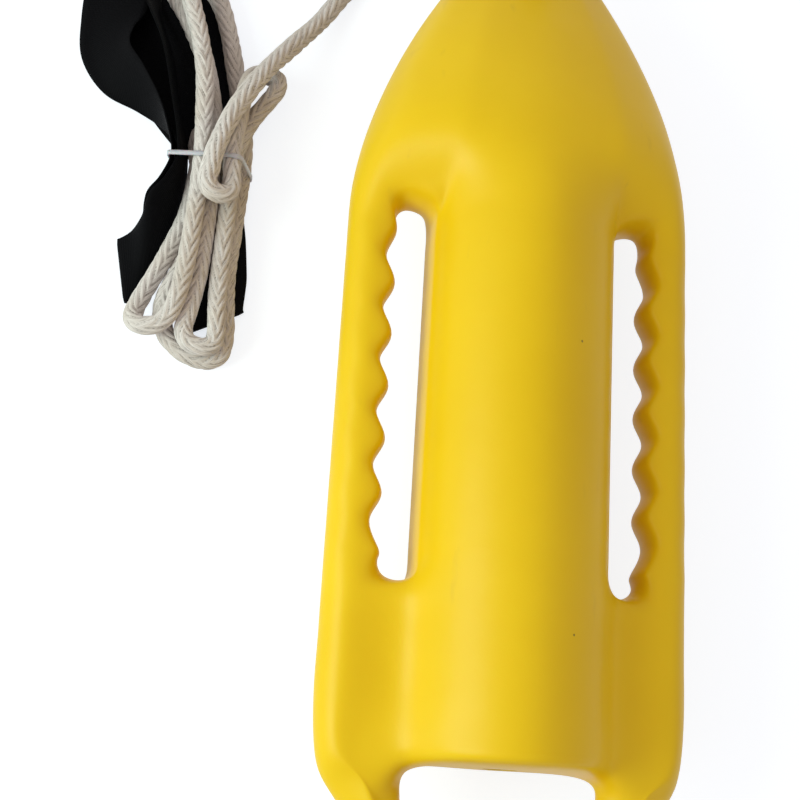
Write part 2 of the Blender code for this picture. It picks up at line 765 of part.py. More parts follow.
def walked(line, step):
    """Points a step apart along the straight pieces of a line."""
    along = np.concatenate([[0.0], np.cumsum(np.linalg.norm(np.diff(line, axis=0), axis=1))])
    places = np.arange(0, along[-1], step)
    return np.stack([np.interp(places, along, line[:, k]) for k in range(3)], axis=1)


def tube(name, line, diameter, mat, sides):
    curve = bpy.data.curves.new(name, "CURVE")
    curve.dimensions = "3D"
    spline = curve.splines.new("POLY")
    spline.points.add(len(line) - 1)
    for point, place in zip(spline.points, line):
        point.co = (*place, 1.0)
    curve.bevel_depth = diameter / 2
    curve.bevel_resolution = sides
    curve.use_fill_caps = True
    curve.materials.append(mat)
    obj = bpy.data.objects.new(name, curve)
    bpy.context.collection.objects.link(obj)
    return obj


def least_gap(line, diameter):
    """The least gap between stretches of a tube that are more than three diameters apart along it."""
    fine = walked(np.array(line), diameter / 4)
    apart = 14
    least = 1.0
    where = None
    for j in range(len(fine) - apart):
        far = np.linalg.norm(fine[j + apart :] - fine[j], axis=1)
        if far.min() < least:
            least = far.min()
            where = fine[j]
    return least - diameter, where


def joined_end(line, place, out):
    """The line ending square and straight at a joint: out points out of it, along the rope."""
    place, out = np.array(place), np.array(out) / np.linalg.norm(out)
    lengths = np.linalg.norm(np.diff(line, axis=0), axis=1)
    left = np.cumsum(lengths[::-1])[::-1]
    kept = line[:-1][left > 1.5 * ROPE_DIAMETER]
    return np.array([*kept, place - ROPE_DIAMETER * out, place - SEAT / 2 * out])


def piece(line, first=None, last=None):
    """The points of a piece's tube: first and last give the place and direction of its joints."""
    line = smooth_line(line, 0.0160, 2.4)
    if first is not None:
        line = joined_end(line[::-1], first[0], -np.array(first[1]))[::-1]
    if last is not None:
        line = joined_end(line, *last)
    return line


INTO_HANK = (HANK_STARTS, np.subtract(HANK_START[0], HANK_STARTS))
INTO_STRAP_KNOT = (HANK_ENDS, np.subtract(HANK_ENDS, HANK_END[-1]))
INTO_NOSE_KNOT = (LEAD_ROUTE[0], (0.0, 0.0, 1.0))


def hank_line():
    line = parted(smooth_line(hank_route(), 0.0050), ROPE_DIAMETER, 0.0009)
    return piece(line, INTO_HANK, INTO_STRAP_KNOT)


def lead_line():
    line = smooth_line(LEAD_ROUTE + (HANK_STARTS, HANK_START[0]), 0.0040)
    line = line[: np.argmin(np.linalg.norm(line - np.array(HANK_STARTS), axis=1))]
    return piece(line, (LEAD_ROUTE[0], (0.0, 0.0, -1.0)), INTO_HANK)


def nose_knot_line():
    """The rope comes up out of the eye, turns over and winds down round itself."""
    top = LEAD_ROUTE[0][2]
    turns, steps = 1.7, 14
    radius, pitch = PITCH + 0.0020, PITCH + 0.0012
    arch = 0.0088
    high = top + ROPE_DIAMETER / 2 + turns * pitch + 1.25 * arch + 0.0009
    line = [(0.0, EYE_Y, top + (high - top) * share) for share in (0.0, 0.25, 0.5, 0.75, 1.0)]
    for angle in (150, 120, 90, 60, 30, 0):
        a = math.radians(angle)
        line.append((arch + arch * math.cos(a), EYE_Y, high + arch * math.sin(a)))
    line.append((0.0174, EYE_Y + 0.0020, high - 0.6 * arch))
    line.append((0.0166, EYE_Y + 0.0060, high - 1.05 * arch))
    for j in range(round(turns * steps)):
        angle = math.radians(40) + 2 * math.pi * j / steps
        reach = radius + 0.0010 * math.exp(-j / 2)
        height = high - 1.25 * arch - pitch * j / steps
        line.append((reach * math.cos(angle), EYE_Y + reach * math.sin(angle), height))
    return piece(line, INTO_NOSE_KNOT)


def strap_knot_line():
    """The rope's end winds round the strap's two ends."""
    x, y, z = STRAP_KNOT
    place, out = INTO_STRAP_KNOT
    line = [np.array(place), place + ROPE_DIAMETER * out / np.linalg.norm(out)]
    steps = 12
    for j in range(27):
        angle = math.radians(108) + 2 * math.pi * j / steps
        radius = STRAP_KNOT_RADIUS + ROPE_DIAMETER / 2 + (0.0015 if j == 0 else 0.0)
        along = y + (PITCH + 0.0008) * j / steps
        line.append((x + radius * math.cos(angle), along, z + radius * math.sin(angle)))
    return piece(line, INTO_STRAP_KNOT)


def rope_pieces(mat):
    lines = {
        "rope_hank": hank_line(),
        "tow_rope_lead": lead_line(),
        "nose_knot": nose_knot_line(),
        "strap_knot": strap_knot_line(),
    }
    for name, line in lines.items():
        gap, where = least_gap(line, ROPE_DIAMETER)
        print(f"{name}: least gap to itself {gap * 1000:.2f} mm at {np.round(where, 3)}")
        tube(name, line, ROPE_DIAMETER, mat, 1)
    return lines["rope_hank"]


# The shoulder strap: one flat band, laid in folds. Each place on it is given in millimetres by
# its middle, its direction across (from the lower or left edge), its width and its lowest height.

STRAP_KNOT = (-0.2720, 0.3360, 0.0232)
STRAP_KNOT_RADIUS = 0.0092
LAYER = 0.0025  # from the middle of one layer to the next
STRAP_END_1 = (
    (-272, 391, 26.2, -1, 0, 0, 22, 1.2),
    (-272, 380, 25.8, -1, 0, 0, 13, 1.2),
    (-272, 331, 25.8, -1, 0, 0, 13, 1.2),
    (-278, 309, 29, -0.9, 0, 0.43, 18, 1.2),
    (-284, 286, 33, -0.7, 0, 0.71, 25, 1.2),
    (-282, 260, 30, -0.45, 0, 0.89, 30, 1.2),
    (-267, 225, 27, -0.3, 0, 0.95, 33, 1.2),
    (-256, 182, 26, -0.26, 0, 0.97, 34, 8.0),
    (-248.5, 150, 25, -0.26, 0, 0.97, 34, 8.0),
)
STRAP_LOWER_1 = (
    (-247, 134, 24, -0.26, 0, 0.97, 33, 8.0),
    (-251, 113, 22, -0.42, 0.15, 0.89, 35, 4.0),
    (-258, 95, 20, -0.42, 0.48, 0.77, 41, 4.0),
    (-264, 79, 16.5, -0.25, 0.78, 0.57, 46, 4.0),
    (-269, 66, 11.5, -0.14, 0.93, 0.32, 49, 4.0),
    (-274.5, 57, 6.2, -0.16, 0.98, 0.08, 50, 4.0),
)
STRAP_UPPER = (
    (-256, 154, 24, -0.25, 0.05, 0.97, 33, 8.0),
    (-266, 172, 23.5, -0.15, 0.30, 0.94, 36, 8.0),
    (-284, 191, 21, 0.05, 0.55, 0.83, 42, 6.6),
    (-303, 207, 17, 0.35, 0.70, 0.62, 46, 6.4),
    (-312, 229, 13, 0.75, 0.50, 0.43, 49, 6.4),
    (-311, 254, 9.5, 0.95, 0.20, 0.22, 50, 6.4),
    (-310, 280, 7.2, 1, 0.05, 0.05, 50, 6.4),
    (-309, 305, 6.4, 1, 0, 0, 50, 6.4),
)
STRAP_BACK = (
    (-308, 300, 3.8, 1, 0, 0, 50, 3.8),
    (-301, 270, 3.8, 0.97, 0.24, 0, 50, 3.8),
    (-286, 240, 3.8, 0.90, 0.43, 0, 50, 3.8),
    (-262, 200, 3.8, 0.88, 0.47, 0, 48, 3.8),
    (-238, 166, 4.4, 0.93, 0.37, 0, 42, 3.8),
    (-222, 144, 5.3, 1, 0.05, 0, 36, 3.8),
    (-219, 132, 5.3, 1, 0, 0, 36, 3.8),
    (-218, 110, 4.4, 1, 0, 0, 40, 3.8),
    (-217, 88, 3.8, 1, 0, 0, 46, 3.8),
    (-216, 62, 3.8, 1, 0.05, 0, 50, 3.8),
    (-214, 38, 3.8, 0.94, 0.34, 0, 50, 3.8),
)
STRAP_END_2 = (
    (-214, 38, 1.3, 0.94, 0.34, 0, 50, 1.2),
    (-216, 62, 1.3, 1, 0.05, 0, 50, 1.2),
    (-217, 88, 1.3, 1, 0, 0, 46, 1.2),
    (-218, 110, 1.9, 1, 0, 0, 40, 1.2),
    (-219, 132, 2.8, 1, 0, 0, 36, 1.2),
    (-222, 144, 2.8, 1, 0.05, 0, 36, 1.2),
    (-235, 174, 1.5, 0.95, 0.30, 0, 42, 1.2),
    (-238, 212, 1.2, 0.95, 0.30, 0, 50, 1.2),
    (-246, 250, 1.2, 0.97, 0.25, 0, 50, 1.2),
    (-256, 275, 1.2, 0.98, 0.2, 0, 44, 1.2),
    (-265, 296, 1.3, 1, 0, 0, 26, 1.2),
    (-271, 309, 3.0, 1, 0, 0, 16, 1.2),
    (-272, 321, 12.0, 1, 0, 0, 13, 1.2),
    (-272, 334, 20.0, 1, 0, 0, 13, 1.2),
    (-272, 350, 20.6, 1, 0, 0, 13, 1.2),
    (-272, 380, 20.6, 1, 0, 0, 13, 1.2),
    (-272, 392, 20.0, 1, 0, 0, 20, 1.2),
)


def folded_over(x, y, z, out, across):
    """Places round a flat fold: z is the upper layer's height, out points to the fold's edge."""
    half = LAYER / 2 * 1000
    places = []
    for angle in (0, 45, 90, 135, 180):
        a = math.radians(angle)
        reach = half * math.sin(a)
        height = z - half + half * math.cos(a)
        places.append((x + out[0] * reach, y + out[1] * reach, height, *across, 0, 50, 0.0))
    return places


def second_layer(places, gaps):
    """The places again in reverse, moved off the first layer's lower side."""
    centres = np.array([p[:3] for p in places], float)
    along = np.gradient(centres, axis=0)
    layer = []
    for place, t, gap in zip(places, along, gaps):
        normal = np.cross(t, place[3:6])
        normal /= np.linalg.norm(normal)
        x, y, z = np.array(place[:3]) + gap * normal
        layer.append((x, y, max(z, 1.2), *place[3:7], place[7] - 2.7))
    return layer[::-1]


def strap_places():
    first = STRAP_LOWER_1
    fold_1 = folded_over(-281.5, 52.0, 4.0, (-0.977, -0.21), (-0.21, 0.977))
    fold_2 = folded_over(-309, 322, 6.3, (0, 1), (1, 0))
    fold_3 = folded_over(-213, 20.0, 3.8, (0.47, -0.88), (0.88, 0.47))
    back = second_layer(first, (4.6, 4.0, 3.4, 3.0, 2.8, 2.7))
    places = [*STRAP_END_1, *first, *fold_1, *back, *STRAP_UPPER, *fold_2, *STRAP_BACK, *fold_3, *STRAP_END_2]
    return np.array(places) * np.array([1e-3] * 3 + [1.0] * 3 + [1e-3] * 2)


def mixed(a, b, t, start, end):
    return a + (b - a) * (t - start) / (end - start)


def through(places, step):
    """Places a step apart on a smooth curve through the given ones, which may stand unevenly."""
    fine = []
    ends = np.vstack([2 * places[0] - places[1], places, 2 * places[-1] - places[-2]])
    for j in range(1, len(ends) - 2):
        p = ends[j - 1 : j + 3]
        legs = np.linalg.norm(np.diff(p[:, :3], axis=0), axis=1)
        knots = np.concatenate([[0.0], np.cumsum(np.sqrt(legs))])
        count = max(1, round(legs[1] / step))
        for k in range(count):
            t = knots[1] + (knots[2] - knots[1]) * k / count
            row = [mixed(p[m], p[m + 1], t, knots[m], knots[m + 1]) for m in range(3)]
            row = [mixed(row[m], row[m + 1], t, knots[m], knots[m + 2]) for m in range(2)]
            fine.append(mixed(*row, t, knots[1], knots[2]))
    fine.append(places[-1])
    return np.array(fine)


def band(name, places, thickness, mat, columns=4):
    """A closed flat band along places, lying on its lowest heights where it would go below them."""
    centres = places[:, :3]
    along = np.gradient(centres, axis=0)
    across = places[:, 3:6] / np.linalg.norm(places[:, 3:6], axis=1)[:, None]
    normals = np.cross(along, across)
    normals /= np.linalg.norm(normals, axis=1)[:, None]
    shares = np.linspace(-0.5, 0.5, columns)
    points = []
    for centre, a, n, width, lowest in zip(centres, across, normals, places[:, 6], places[:, 7]):
        middle = centre + np.outer(shares * width, a)
        middle[:, 2] = np.maximum(middle[:, 2], lowest)
        points += list(middle + thickness / 2 * n) + list((middle - thickness / 2 * n)[::-1])
    ring = 2 * columns
    faces = []
    for j in range(len(places) - 1):
        for k in range(ring):
            m = (k + 1) % ring
            faces.append([j * ring + k, j * ring + m, (j + 1) * ring + m, (j + 1) * ring + k])
    for first in (0, (len(places) - 1) * ring):
        for k in range(columns - 1):
            faces.append([first + k, first + k + 1, first + ring - 2 - k, first + ring - 1 - k])
    return mesh_object(name, points, faces, mat)


def cable_tie(hank, strap, mat):
    """A thin band drawn round everything in the bundle except the strand on top."""
    half = TIE_WIDTH / 2
    rounds = []
    rope = walked(hank, 0.0010)
    rope = rope[np.abs(rope[:, 1] - WAIST_Y) < half + 0.001]
    top = WAIST["top"][1] - ROPE_DIAMETER / 2
    rounds += [(x, z, ROPE_DIAMETER / 2 + SEAT) for x, _, z in rope if z < top]
    for place in through(strap, 0.0010):
        if abs(place[1] - WAIST_Y) < half + 0.001:
            edge = place[3:6] / np.linalg.norm(place[3:6]) * place[6] / 2
            for side in (-1, 1):
                x, _, z = place[:3] + side * edge
                rounds.append((x, max(z, place[7]), STRAP_THICKNESS / 2 + SEAT))
    rounds = np.array(rounds)
    inner, outer = [], []
    steps = 32
    for k in range(steps):
        out = np.array([math.cos(2 * math.pi * k / steps), math.sin(2 * math.pi * k / steps)])
        far = rounds[np.argmax(rounds[:, :2] @ out + rounds[:, 2])]
        inner.append(far[:2] + (far[2] + 0.0002) * out)
        outer.append(far[:2] + (far[2] + 0.0002 + TIE_THICKNESS) * out)
    points, faces = [], []
    for k in range(steps):
        for (x, z), y in ((inner[k], -half), (outer[k], -half), (outer[k], half), (inner[k], half)):
            points.append((x, WAIST_Y + y, z))
    for k in range(steps):
        m = (k + 1) % steps
        for j in range(4):
            n = (j + 1) % 4
            faces.append([4 * k + j, 4 * k + n, 4 * m + n, 4 * m + j])
    return mesh_object("cable_tie", points, faces, mat)


def main():
    clear_scene()
    yellow = material("moulded_yellow", (0.85, 0.62, 0.03), 0.4)
    black = material("plug_black", (0.03, 0.03, 0.03), 0.5)
    rubber = material("seal_rubber", (0.02, 0.02, 0.02), 0.8)
    rope = material("rope_fibre", (0.72, 0.68, 0.58), 0.9)
    can_shell(yellow)
    vent_plug(black)
    plug_seal(rubber)
    hank = rope_pieces(rope)
    places = strap_places()
    webbing = material("strap_webbing", (0.012, 0.012, 0.014), 0.85)
    band("shoulder_strap", through(places, 0.0110), STRAP_THICKNESS, webbing)
    nylon = material("tie_nylon", (0.80, 0.82, 0.84), 0.35)
    cable_tie(hank, places, nylon)


main()
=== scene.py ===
"""Looks of the rescue can: moulded float, braided tow rope, webbing shoulder strap and tie."""

import math

import bmesh
import bpy
import numpy as np
from mathutils import Matrix, Vector


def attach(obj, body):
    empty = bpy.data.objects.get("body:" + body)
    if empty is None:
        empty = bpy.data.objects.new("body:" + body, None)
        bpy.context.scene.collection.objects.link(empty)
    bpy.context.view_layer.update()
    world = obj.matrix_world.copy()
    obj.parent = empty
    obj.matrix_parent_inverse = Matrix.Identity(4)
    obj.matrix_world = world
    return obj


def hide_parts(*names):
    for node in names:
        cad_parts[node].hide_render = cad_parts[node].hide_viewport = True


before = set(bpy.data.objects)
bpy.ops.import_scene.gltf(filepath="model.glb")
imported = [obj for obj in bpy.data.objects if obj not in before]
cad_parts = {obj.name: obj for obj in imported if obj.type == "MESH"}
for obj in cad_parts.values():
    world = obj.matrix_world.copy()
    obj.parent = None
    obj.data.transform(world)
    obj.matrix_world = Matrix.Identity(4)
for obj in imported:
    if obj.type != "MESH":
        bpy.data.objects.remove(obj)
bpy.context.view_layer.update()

# Objects


def linked(name, data):
    """A new object, linked to the scene."""
    obj = bpy.data.objects.new(name, data)
    bpy.context.collection.objects.link(obj)
    return obj


def new_mesh(name, points, faces, mat=None):
    mesh = bpy.data.meshes.new(name)
    mesh.from_pydata(points, [], faces)
    if mat:
        mesh.materials.append(mat)
    return mesh


def mesh_object(name, points, faces, mat):
    """A smoothly shaded closed solid."""
    mesh = new_mesh(name, points, faces, mat)
    bm = bmesh.new()
    bm.from_mesh(mesh)
    bmesh.ops.recalc_face_normals(bm, faces=bm.faces)
    bm.to_mesh(mesh)
    bm.free()
    mesh.shade_smooth()
    return linked(name, mesh)


def tube_faces(count, ring, closed=False):
    """Quads from ring to ring of points; a closed tube's last ring meets its first."""
    faces = []
    for j in range(count if closed else count - 1):
        here, ahead = j * ring, (j + 1) % count * ring
        for k in range(ring):
            m = (k + 1) % ring
            faces.append([here + k, here + m, ahead + m, ahead + k])
    return faces


def capped_faces(count, ring):
    """A tube's faces with fans at its ends, whose two middle points come after the rings."""
    faces = tube_faces(count, ring)
    first, end = count * ring, (count - 1) * ring
    for k in range(ring):
        m = (k + 1) % ring
        faces += [(first, m, k), (first + 1, end + k, end + m)]
    return faces


# Shader nodes

BLACK = (0.0, 0.0, 0.0)
WHITE = (1.0, 1.0, 1.0)


def feed(node, inputs):
    """Gives inputs, found by name or number, a value or another node's output."""
    for key, value in inputs.items():
        socket = node.inputs[key]
        if isinstance(value, bpy.types.NodeSocket):
            node.id_data.links.new(value, socket)
        else:
            socket.default_value = (*value, 1.0) if socket.type == "RGBA" else value


def add_node(tree, kind, inputs=None, **settings):
    node = tree.nodes.new("ShaderNode" + kind)
    for name, value in settings.items():
        setattr(node, name, value)
    feed(node, inputs or {})
    return node


def math_node(operation, first, *others):
    """The result of a calculation, in the tree of its first value, which is an output."""
    inputs = dict(enumerate((first, *others)))
    return add_node(first.id_data, "Math", inputs, operation=operation).outputs[0]


def mix_color(share, a, b, blend="MIX"):
    """Colour a turned to b by a share; sockets 6 and 7 are the node's two colours."""
    inputs = {"Factor": share, 6: a, 7: b}
    return add_node(a.id_data, "Mix", inputs, data_type="RGBA", blend_type=blend).outputs[2]


def noise(place, scale, detail=3.0, stretch=(1.0, 1.0, 1.0)):
    """Noise: scale is features to a unit of place, and stretch multiplies it for each axis."""
    mapping = add_node(place.id_data, "Mapping", {"Vector": place, "Scale": stretch})
    inputs = {"Vector": mapping.outputs["Vector"], "Scale": scale, "Detail": detail}
    return add_node(place.id_data, "TexNoise", inputs).outputs["Fac"]


def ramp(value, stops, interpolation="LINEAR"):
    """The colour at a value between (place, colour) stops."""
    node = add_node(value.id_data, "ValToRGB", {"Fac": value})
    node.color_ramp.interpolation = interpolation
    elements = node.color_ramp.elements
    elements.remove(elements[1])
    for j, (place, color) in enumerate(stops):
        element = elements[0] if j == 0 else elements.new(place)
        element.position = place
        element.color = (*color, 1.0)
    return node.outputs["Color"]


def stained(color, value, start, end, share, stain):
    """The colour with a stain that grows to its full share as a value goes from start to end."""
    mask = ramp(value, [(start, BLACK), (end, (share, share, share))])
    return mix_color(mask, color, stain)


def bump(shader, height, distance, strength):
    inputs = {"Height": height, "Distance": distance, "Strength": strength}
    feed(shader, {"Normal": add_node(shader.id_data, "Bump", inputs).outputs["Normal"]})


def object_place(mat):
    return add_node(mat.node_tree, "TexCoord").outputs["Object"]


def background_rays(tree):
    """1 for the rays that show the background: camera, glossy and transmission rays."""
    path = add_node(tree, "LightPath").outputs
    found = math_node("MAXIMUM", path["Is Camera Ray"], path["Is Glossy Ray"])
    return math_node("MAXIMUM", found, path["Is Transmission Ray"])


def bare_tree(owner):
    """The empty node tree of a world or a material."""
    owner.use_nodes = True
    owner.node_tree.nodes.clear()
    return owner.node_tree


# Camera, floor and light

CAMERA_LENS = 63.0  # mm, for Blender's sensor 36 mm wide
CAMERA_PLACE = (-0.23879475, -0.31103201, 0.99395636)
CAMERA_RIGHT = (0.98097793, 0.05807441, 0.18522868)
CAMERA_UP = (-0.10590491, 0.95979606, 0.25995322)
CAMERA_BACK = (-0.16268513, -0.274625, 0.94768912)
KEY_PLACE = (-1.28, -0.28, 0.76)  # low on the left
KEY_TARGET = (0.0, 0.0, 0.07)
KEY_SIZE = 1.0
KEY_WATTS = 15.5
KEY_COLOR = (0.83, 1.0, 0.9)
FILL_COLOR = (1.0, 0.9, 0.8)  # light from all round
FILL_STRENGTH = 0.6
FLOOR_COLOR = (0.44, 0.45, 0.47)
FLOOR_GLOW = 0.14  # light that the floor gives off
FLOOR_GLOW_SEEN = 0.61  # the same on top where the camera or a mirroring surface sees it
FLOOR_GLOW_COLOR = (0.96, 1.0, 1.06)
FLOOR_HALF = 6.0
FLOOR_DROP = 0.0004  # how far the floor is below the belly


def make_camera():
    data = bpy.data.cameras.new("camera")
    data.lens = CAMERA_LENS
    data.clip_start = 0.01
    data.clip_end = 50.0
    camera = linked("camera", data)
    turn = Matrix((CAMERA_RIGHT, CAMERA_UP, CAMERA_BACK)).transposed()
    camera.matrix_world = Matrix.Translation(CAMERA_PLACE) @ turn.to_4x4()
    bpy.context.scene.camera = camera


def make_key_light():
    data = bpy.data.lights.new("key", "AREA")
    data.shape = "DISK"
    data.size = KEY_SIZE
    data.energy = KEY_WATTS
    data.color = KEY_COLOR
    light = linked("key", data)
    light.location = KEY_PLACE
    ahead = Vector(KEY_TARGET) - Vector(KEY_PLACE)
    light.rotation_euler = ahead.to_track_quat("-Z", "Y").to_euler()


def make_world():
    """Soft light from all round, and a white background."""
    world = bpy.data.worlds.new("studio")
    bpy.context.scene.world = world
    tree = bare_tree(world)
    lit = add_node(tree, "Background", {"Color": FILL_COLOR, "Strength": FILL_STRENGTH})
    seen = add_node(tree, "Background", {"Color": WHITE, "Strength": 1.0})
    mix = add_node(tree, "MixShader", {0: background_rays(tree), 1: lit.outputs[0], 2: seen.outputs[0]})
    add_node(tree, "OutputWorld", {"Surface": mix.outputs[0]})


def make_floor():
    """A pale floor that is white to the camera where nothing shades it."""
    mat = bpy.data.materials.new("floor")
    tree = bare_tree(mat)
    strength = math_node("MULTIPLY_ADD", background_rays(tree), FLOOR_GLOW_SEEN, FLOOR_GLOW)
    glow = add_node(tree, "Emission", {"Color": FLOOR_GLOW_COLOR, "Strength": strength})
    plain = add_node(tree, "BsdfDiffuse", {"Color": FLOOR_COLOR})
    both = add_node(tree, "AddShader", {0: plain.outputs[0], 1: glow.outputs[0]})
    add_node(tree, "OutputMaterial", {"Surface": both.outputs[0]})
    h = FLOOR_HALF
    corners = [(-h, -h, 0), (h, -h, 0), (h, h, 0), (-h, h, 0)]
    floor = linked("floor", new_mesh("floor", corners, [(0, 1, 2, 3)], mat))
    floor.location.z = -FLOOR_DROP


bpy.context.scene.view_settings.view_transform = "Standard"
make_camera()
make_world()
make_floor()
make_key_light()

# Sizes, as in the solids

CAN_LENGTH = 0.720
CAN_WIDTH = 0.252
CAN_HEIGHT = 0.150
LAND_DEPTH = 0.002  # how deep the belly's round is cut to its flat land
TUBE_HALF_WIDTH = 0.0665
EDGE_ROUND = 0.009  # how far a grip's rounding reaches in from its edge
RIM_ROUND = 0.011  # the same at the front ends of the side slots
TAIL_ROUND = 0.098  # length of the rounded tail end
TAIL_BAR = 0.034
TAIL_GAP = 0.038
TAIL_GAP_SIDE = 0.060  # from the can's edge to the gap's side
TAIL_GAP_CORNER = 0.017
TAIL_EDGE_SHARE = 0.3  # share of the tail grip's width that the rounding of each of its edges takes
TUBE_END_ROUND = 0.012
SLOT_TO_TUBE_END = 0.119
GROOVES = 6
GROOVE_PITCH = 0.0377
GROOVE_DEPTH = 0.0072
SLOT_END = 0.019  # from the slot's end to the first ridge
GRIP_WIDTH = 0.036  # from the can's edge to the tops of the ridges
GRIP_RISE = 0.0198
GRIP_EDGE_RISE = 0.0168
TUBE_FOOT_RISE = 0.025  # height of the tube's foot on the wing, above the middle plane
TUBE_FOOT_OUT = 0.0035
TAB_RISE = 0.018
TAB_STARTS = 0.88  # share of the nose's length where its tab starts
NOSE_OUTLINE = (1.7, 0.87)  # powers of the outline in plan
NOSE_CROWN = (2.0, 1.4)  # powers of the outline from the side
ROUND_BEFORE = 0.016  # the section turns from tube and wings to one ellipse from this length before
ROUND_AFTER = 0.056  # the slots' front end to this length after it
BELLY_LAG = 0.030  # how much further forward the section turns on the underside
FOOT_LEAD = 0.004  # how much further back it turns at the tube's foot
END_DRAFT = 0.007  # how far forward of its upper rim a slot's front end has its lower rim
TIP_ROUND = 0.017
EYE_RADIUS = 0.009
EYE_MOUTH = 0.0015  # rounding of the eye's mouths
EYE_MOUTH_LINE = ((0.0, -2.2), (0.3, -1.0), (2.2, 1.0))  # its section: out and up, in mouths
EYE_SETBACK = 0.031
BORE_RADIUS = 0.0063
SHANK_CLEARANCE = 0.0003
HEAD_RADIUS = 0.011
HEAD_THICKNESS = 0.005
HEAD_SINK = 0.002  # from the tube's end to the head's face
SEAL_THICKNESS = 0.0018
SEAT = 0.0003  # gap between pieces that touch
ROPE_DIAMETER = 0.013
PITCH = ROPE_DIAMETER + 0.0005  # between strands that lie against each other
STRAP_WIDTH = 0.050
STRAP_THICKNESS = 0.0018
TIE_WIDTH = 0.0034
TIE_THICKNESS = 0.0012
TAIL_END = -CAN_LENGTH / 2
NOSE_TIP = CAN_LENGTH / 2
HALF_WIDTH = CAN_WIDTH / 2
SLOT_RIDGE_X = HALF_WIDTH - GRIP_WIDTH
TAIL_GAP_HALF_WIDTH = HALF_WIDTH - TAIL_GAP_SIDE
TUBE_RISE = (CAN_HEIGHT + LAND_DEPTH) / 2
AXIS_Z = CAN_HEIGHT - TUBE_RISE
GAP_REAR = TAIL_END + TAIL_BAR
TUBE_END = GAP_REAR + TAIL_GAP
SLOT_BACK = TUBE_END + SLOT_TO_TUBE_END
SLOT_LENGTH = GROOVES * GROOVE_PITCH + 2 * SLOT_END
SLOT_FRONT = SLOT_BACK + SLOT_LENGTH
NOSE_LENGTH = NOSE_TIP - SLOT_FRONT
EYE_Y = NOSE_TIP - EYE_SETBACK
PLUG_DEPTH = HEAD_SINK + HEAD_THICKNESS + SEAL_THICKNESS + 2 * SEAT

# The can's surface: rows of points across it, in columns from the middle to its edges

FOOT, RIDGE, EDGE = 2, 3, 4  # columns at the tube's foot, the ridges of the grip and the can's edge
COLUMNS = (
    0.0,
    TUBE_HALF_WIDTH * math.sin(math.radians(45)) / HALF_WIDTH,
    (TUBE_HALF_WIDTH + TUBE_FOOT_OUT) / HALF_WIDTH,
    (SLOT_RIDGE_X + EDGE_ROUND) / HALF_WIDTH,
    (HALF_WIDTH - EDGE_ROUND) / HALF_WIDTH,
)
WING_HEIGHTS = (TUBE_RISE, TUBE_RISE * math.cos(math.radians(45)), TUBE_FOOT_RISE, GRIP_RISE, GRIP_EDGE_RISE)
WING_SHARES = (0.0, 0.3, 0.6, 0.83)  # places of rows between the tube's end and the slots
NOSE_SHARES = (0.13, 0.23, 0.35, 0.48, 0.6, 0.71, 0.8, 0.885)  # and of rows ahead of the slots
TAIL_FIRST = 14.0  # degrees round the tail's edge where its strip starts
TAIL_STEPS = 6
TIP_TURN = 19.0  # degrees round the tip from one column to the next
RIDGE_DROP = 0.001  # how far the ridges' rim is below the grip's middle
RIM_GROOVE = 0.85  # share of a groove's depth that it has at its rim
TIP_HIGH, TIP_WIDE = 0.86, 0.92  # shares of height and width that the last row has left
GRIP_LEAN, TUBE_LEAN = 0.29, 0.15  # share of the way out to its rim that a slot's wall leans
END_LEAN = 0.7  # the same under the front end
WALL_LINE = 0.7  # height of a slot wall's upper line, as a share of its rim's


def nose_share(y):
    return max((y - SLOT_FRONT) / NOSE_LENGTH, 0.0)


def half_width(y):
    """Half the can's width at a place along it, seen from above."""
    a, b = NOSE_OUTLINE
    return HALF_WIDTH * (1 - nose_share(y) ** a) ** b


def rise(y):
    """The height of the can's crown above its middle plane."""
    a, b = NOSE_CROWN
    share = min(nose_share(y) / TAB_STARTS, 1.0)
    return TAB_RISE + (TUBE_RISE - TAB_RISE) * (1 - share**a) ** b


def roundness(y):
    """0 where the tube stands on flat wings, 1 where the nose's section is one ellipse."""
    share = (y - SLOT_FRONT + ROUND_BEFORE) / (ROUND_BEFORE + ROUND_AFTER)
    share = min(max(share, 0.0), 1.0)
    return share * share * (3 - 2 * share)


def column_height(k, y, lag=0.0):
    """The height of a column's point above the middle plane."""
    winged = WING_HEIGHTS[k] * rise(y) / TUBE_RISE
    ellipse = rise(y) * math.sqrt(1 - COLUMNS[k] ** 2)
    return winged + (ellipse - winged) * roundness(y - lag + FOOT_LEAD * (k == FOOT))


def tail_edge(angle, inset=0.0):
    """A point on the rounded tail's edge: 0 degrees at the side and 90 at the end."""
    c, s = math.cos(math.radians(angle)), math.sin(math.radians(angle))
    x, y = HALF_WIDTH * c, TAIL_END + TAIL_ROUND * (1 - s)
    normal = Vector((c / HALF_WIDTH, -s / TAIL_ROUND)).normalized()
    return x - inset * normal.x, y - inset * normal.y


def groove_rows():
    """Places along a slot where a ridge (0) or a groove (1) is, from the back."""
    first = SLOT_BACK + SLOT_END
    rows = [(SLOT_BACK + 0.6 * SLOT_END, 0)]
    for k in range(2 * GROOVES + 1):
        rows.append((first + k * GROOVE_PITCH / 2, k % 2 + 0.2 * (k == 2 * GROOVES)))
    rows.append((SLOT_FRONT - 0.4 * SLOT_END, 0.3))
    return rows


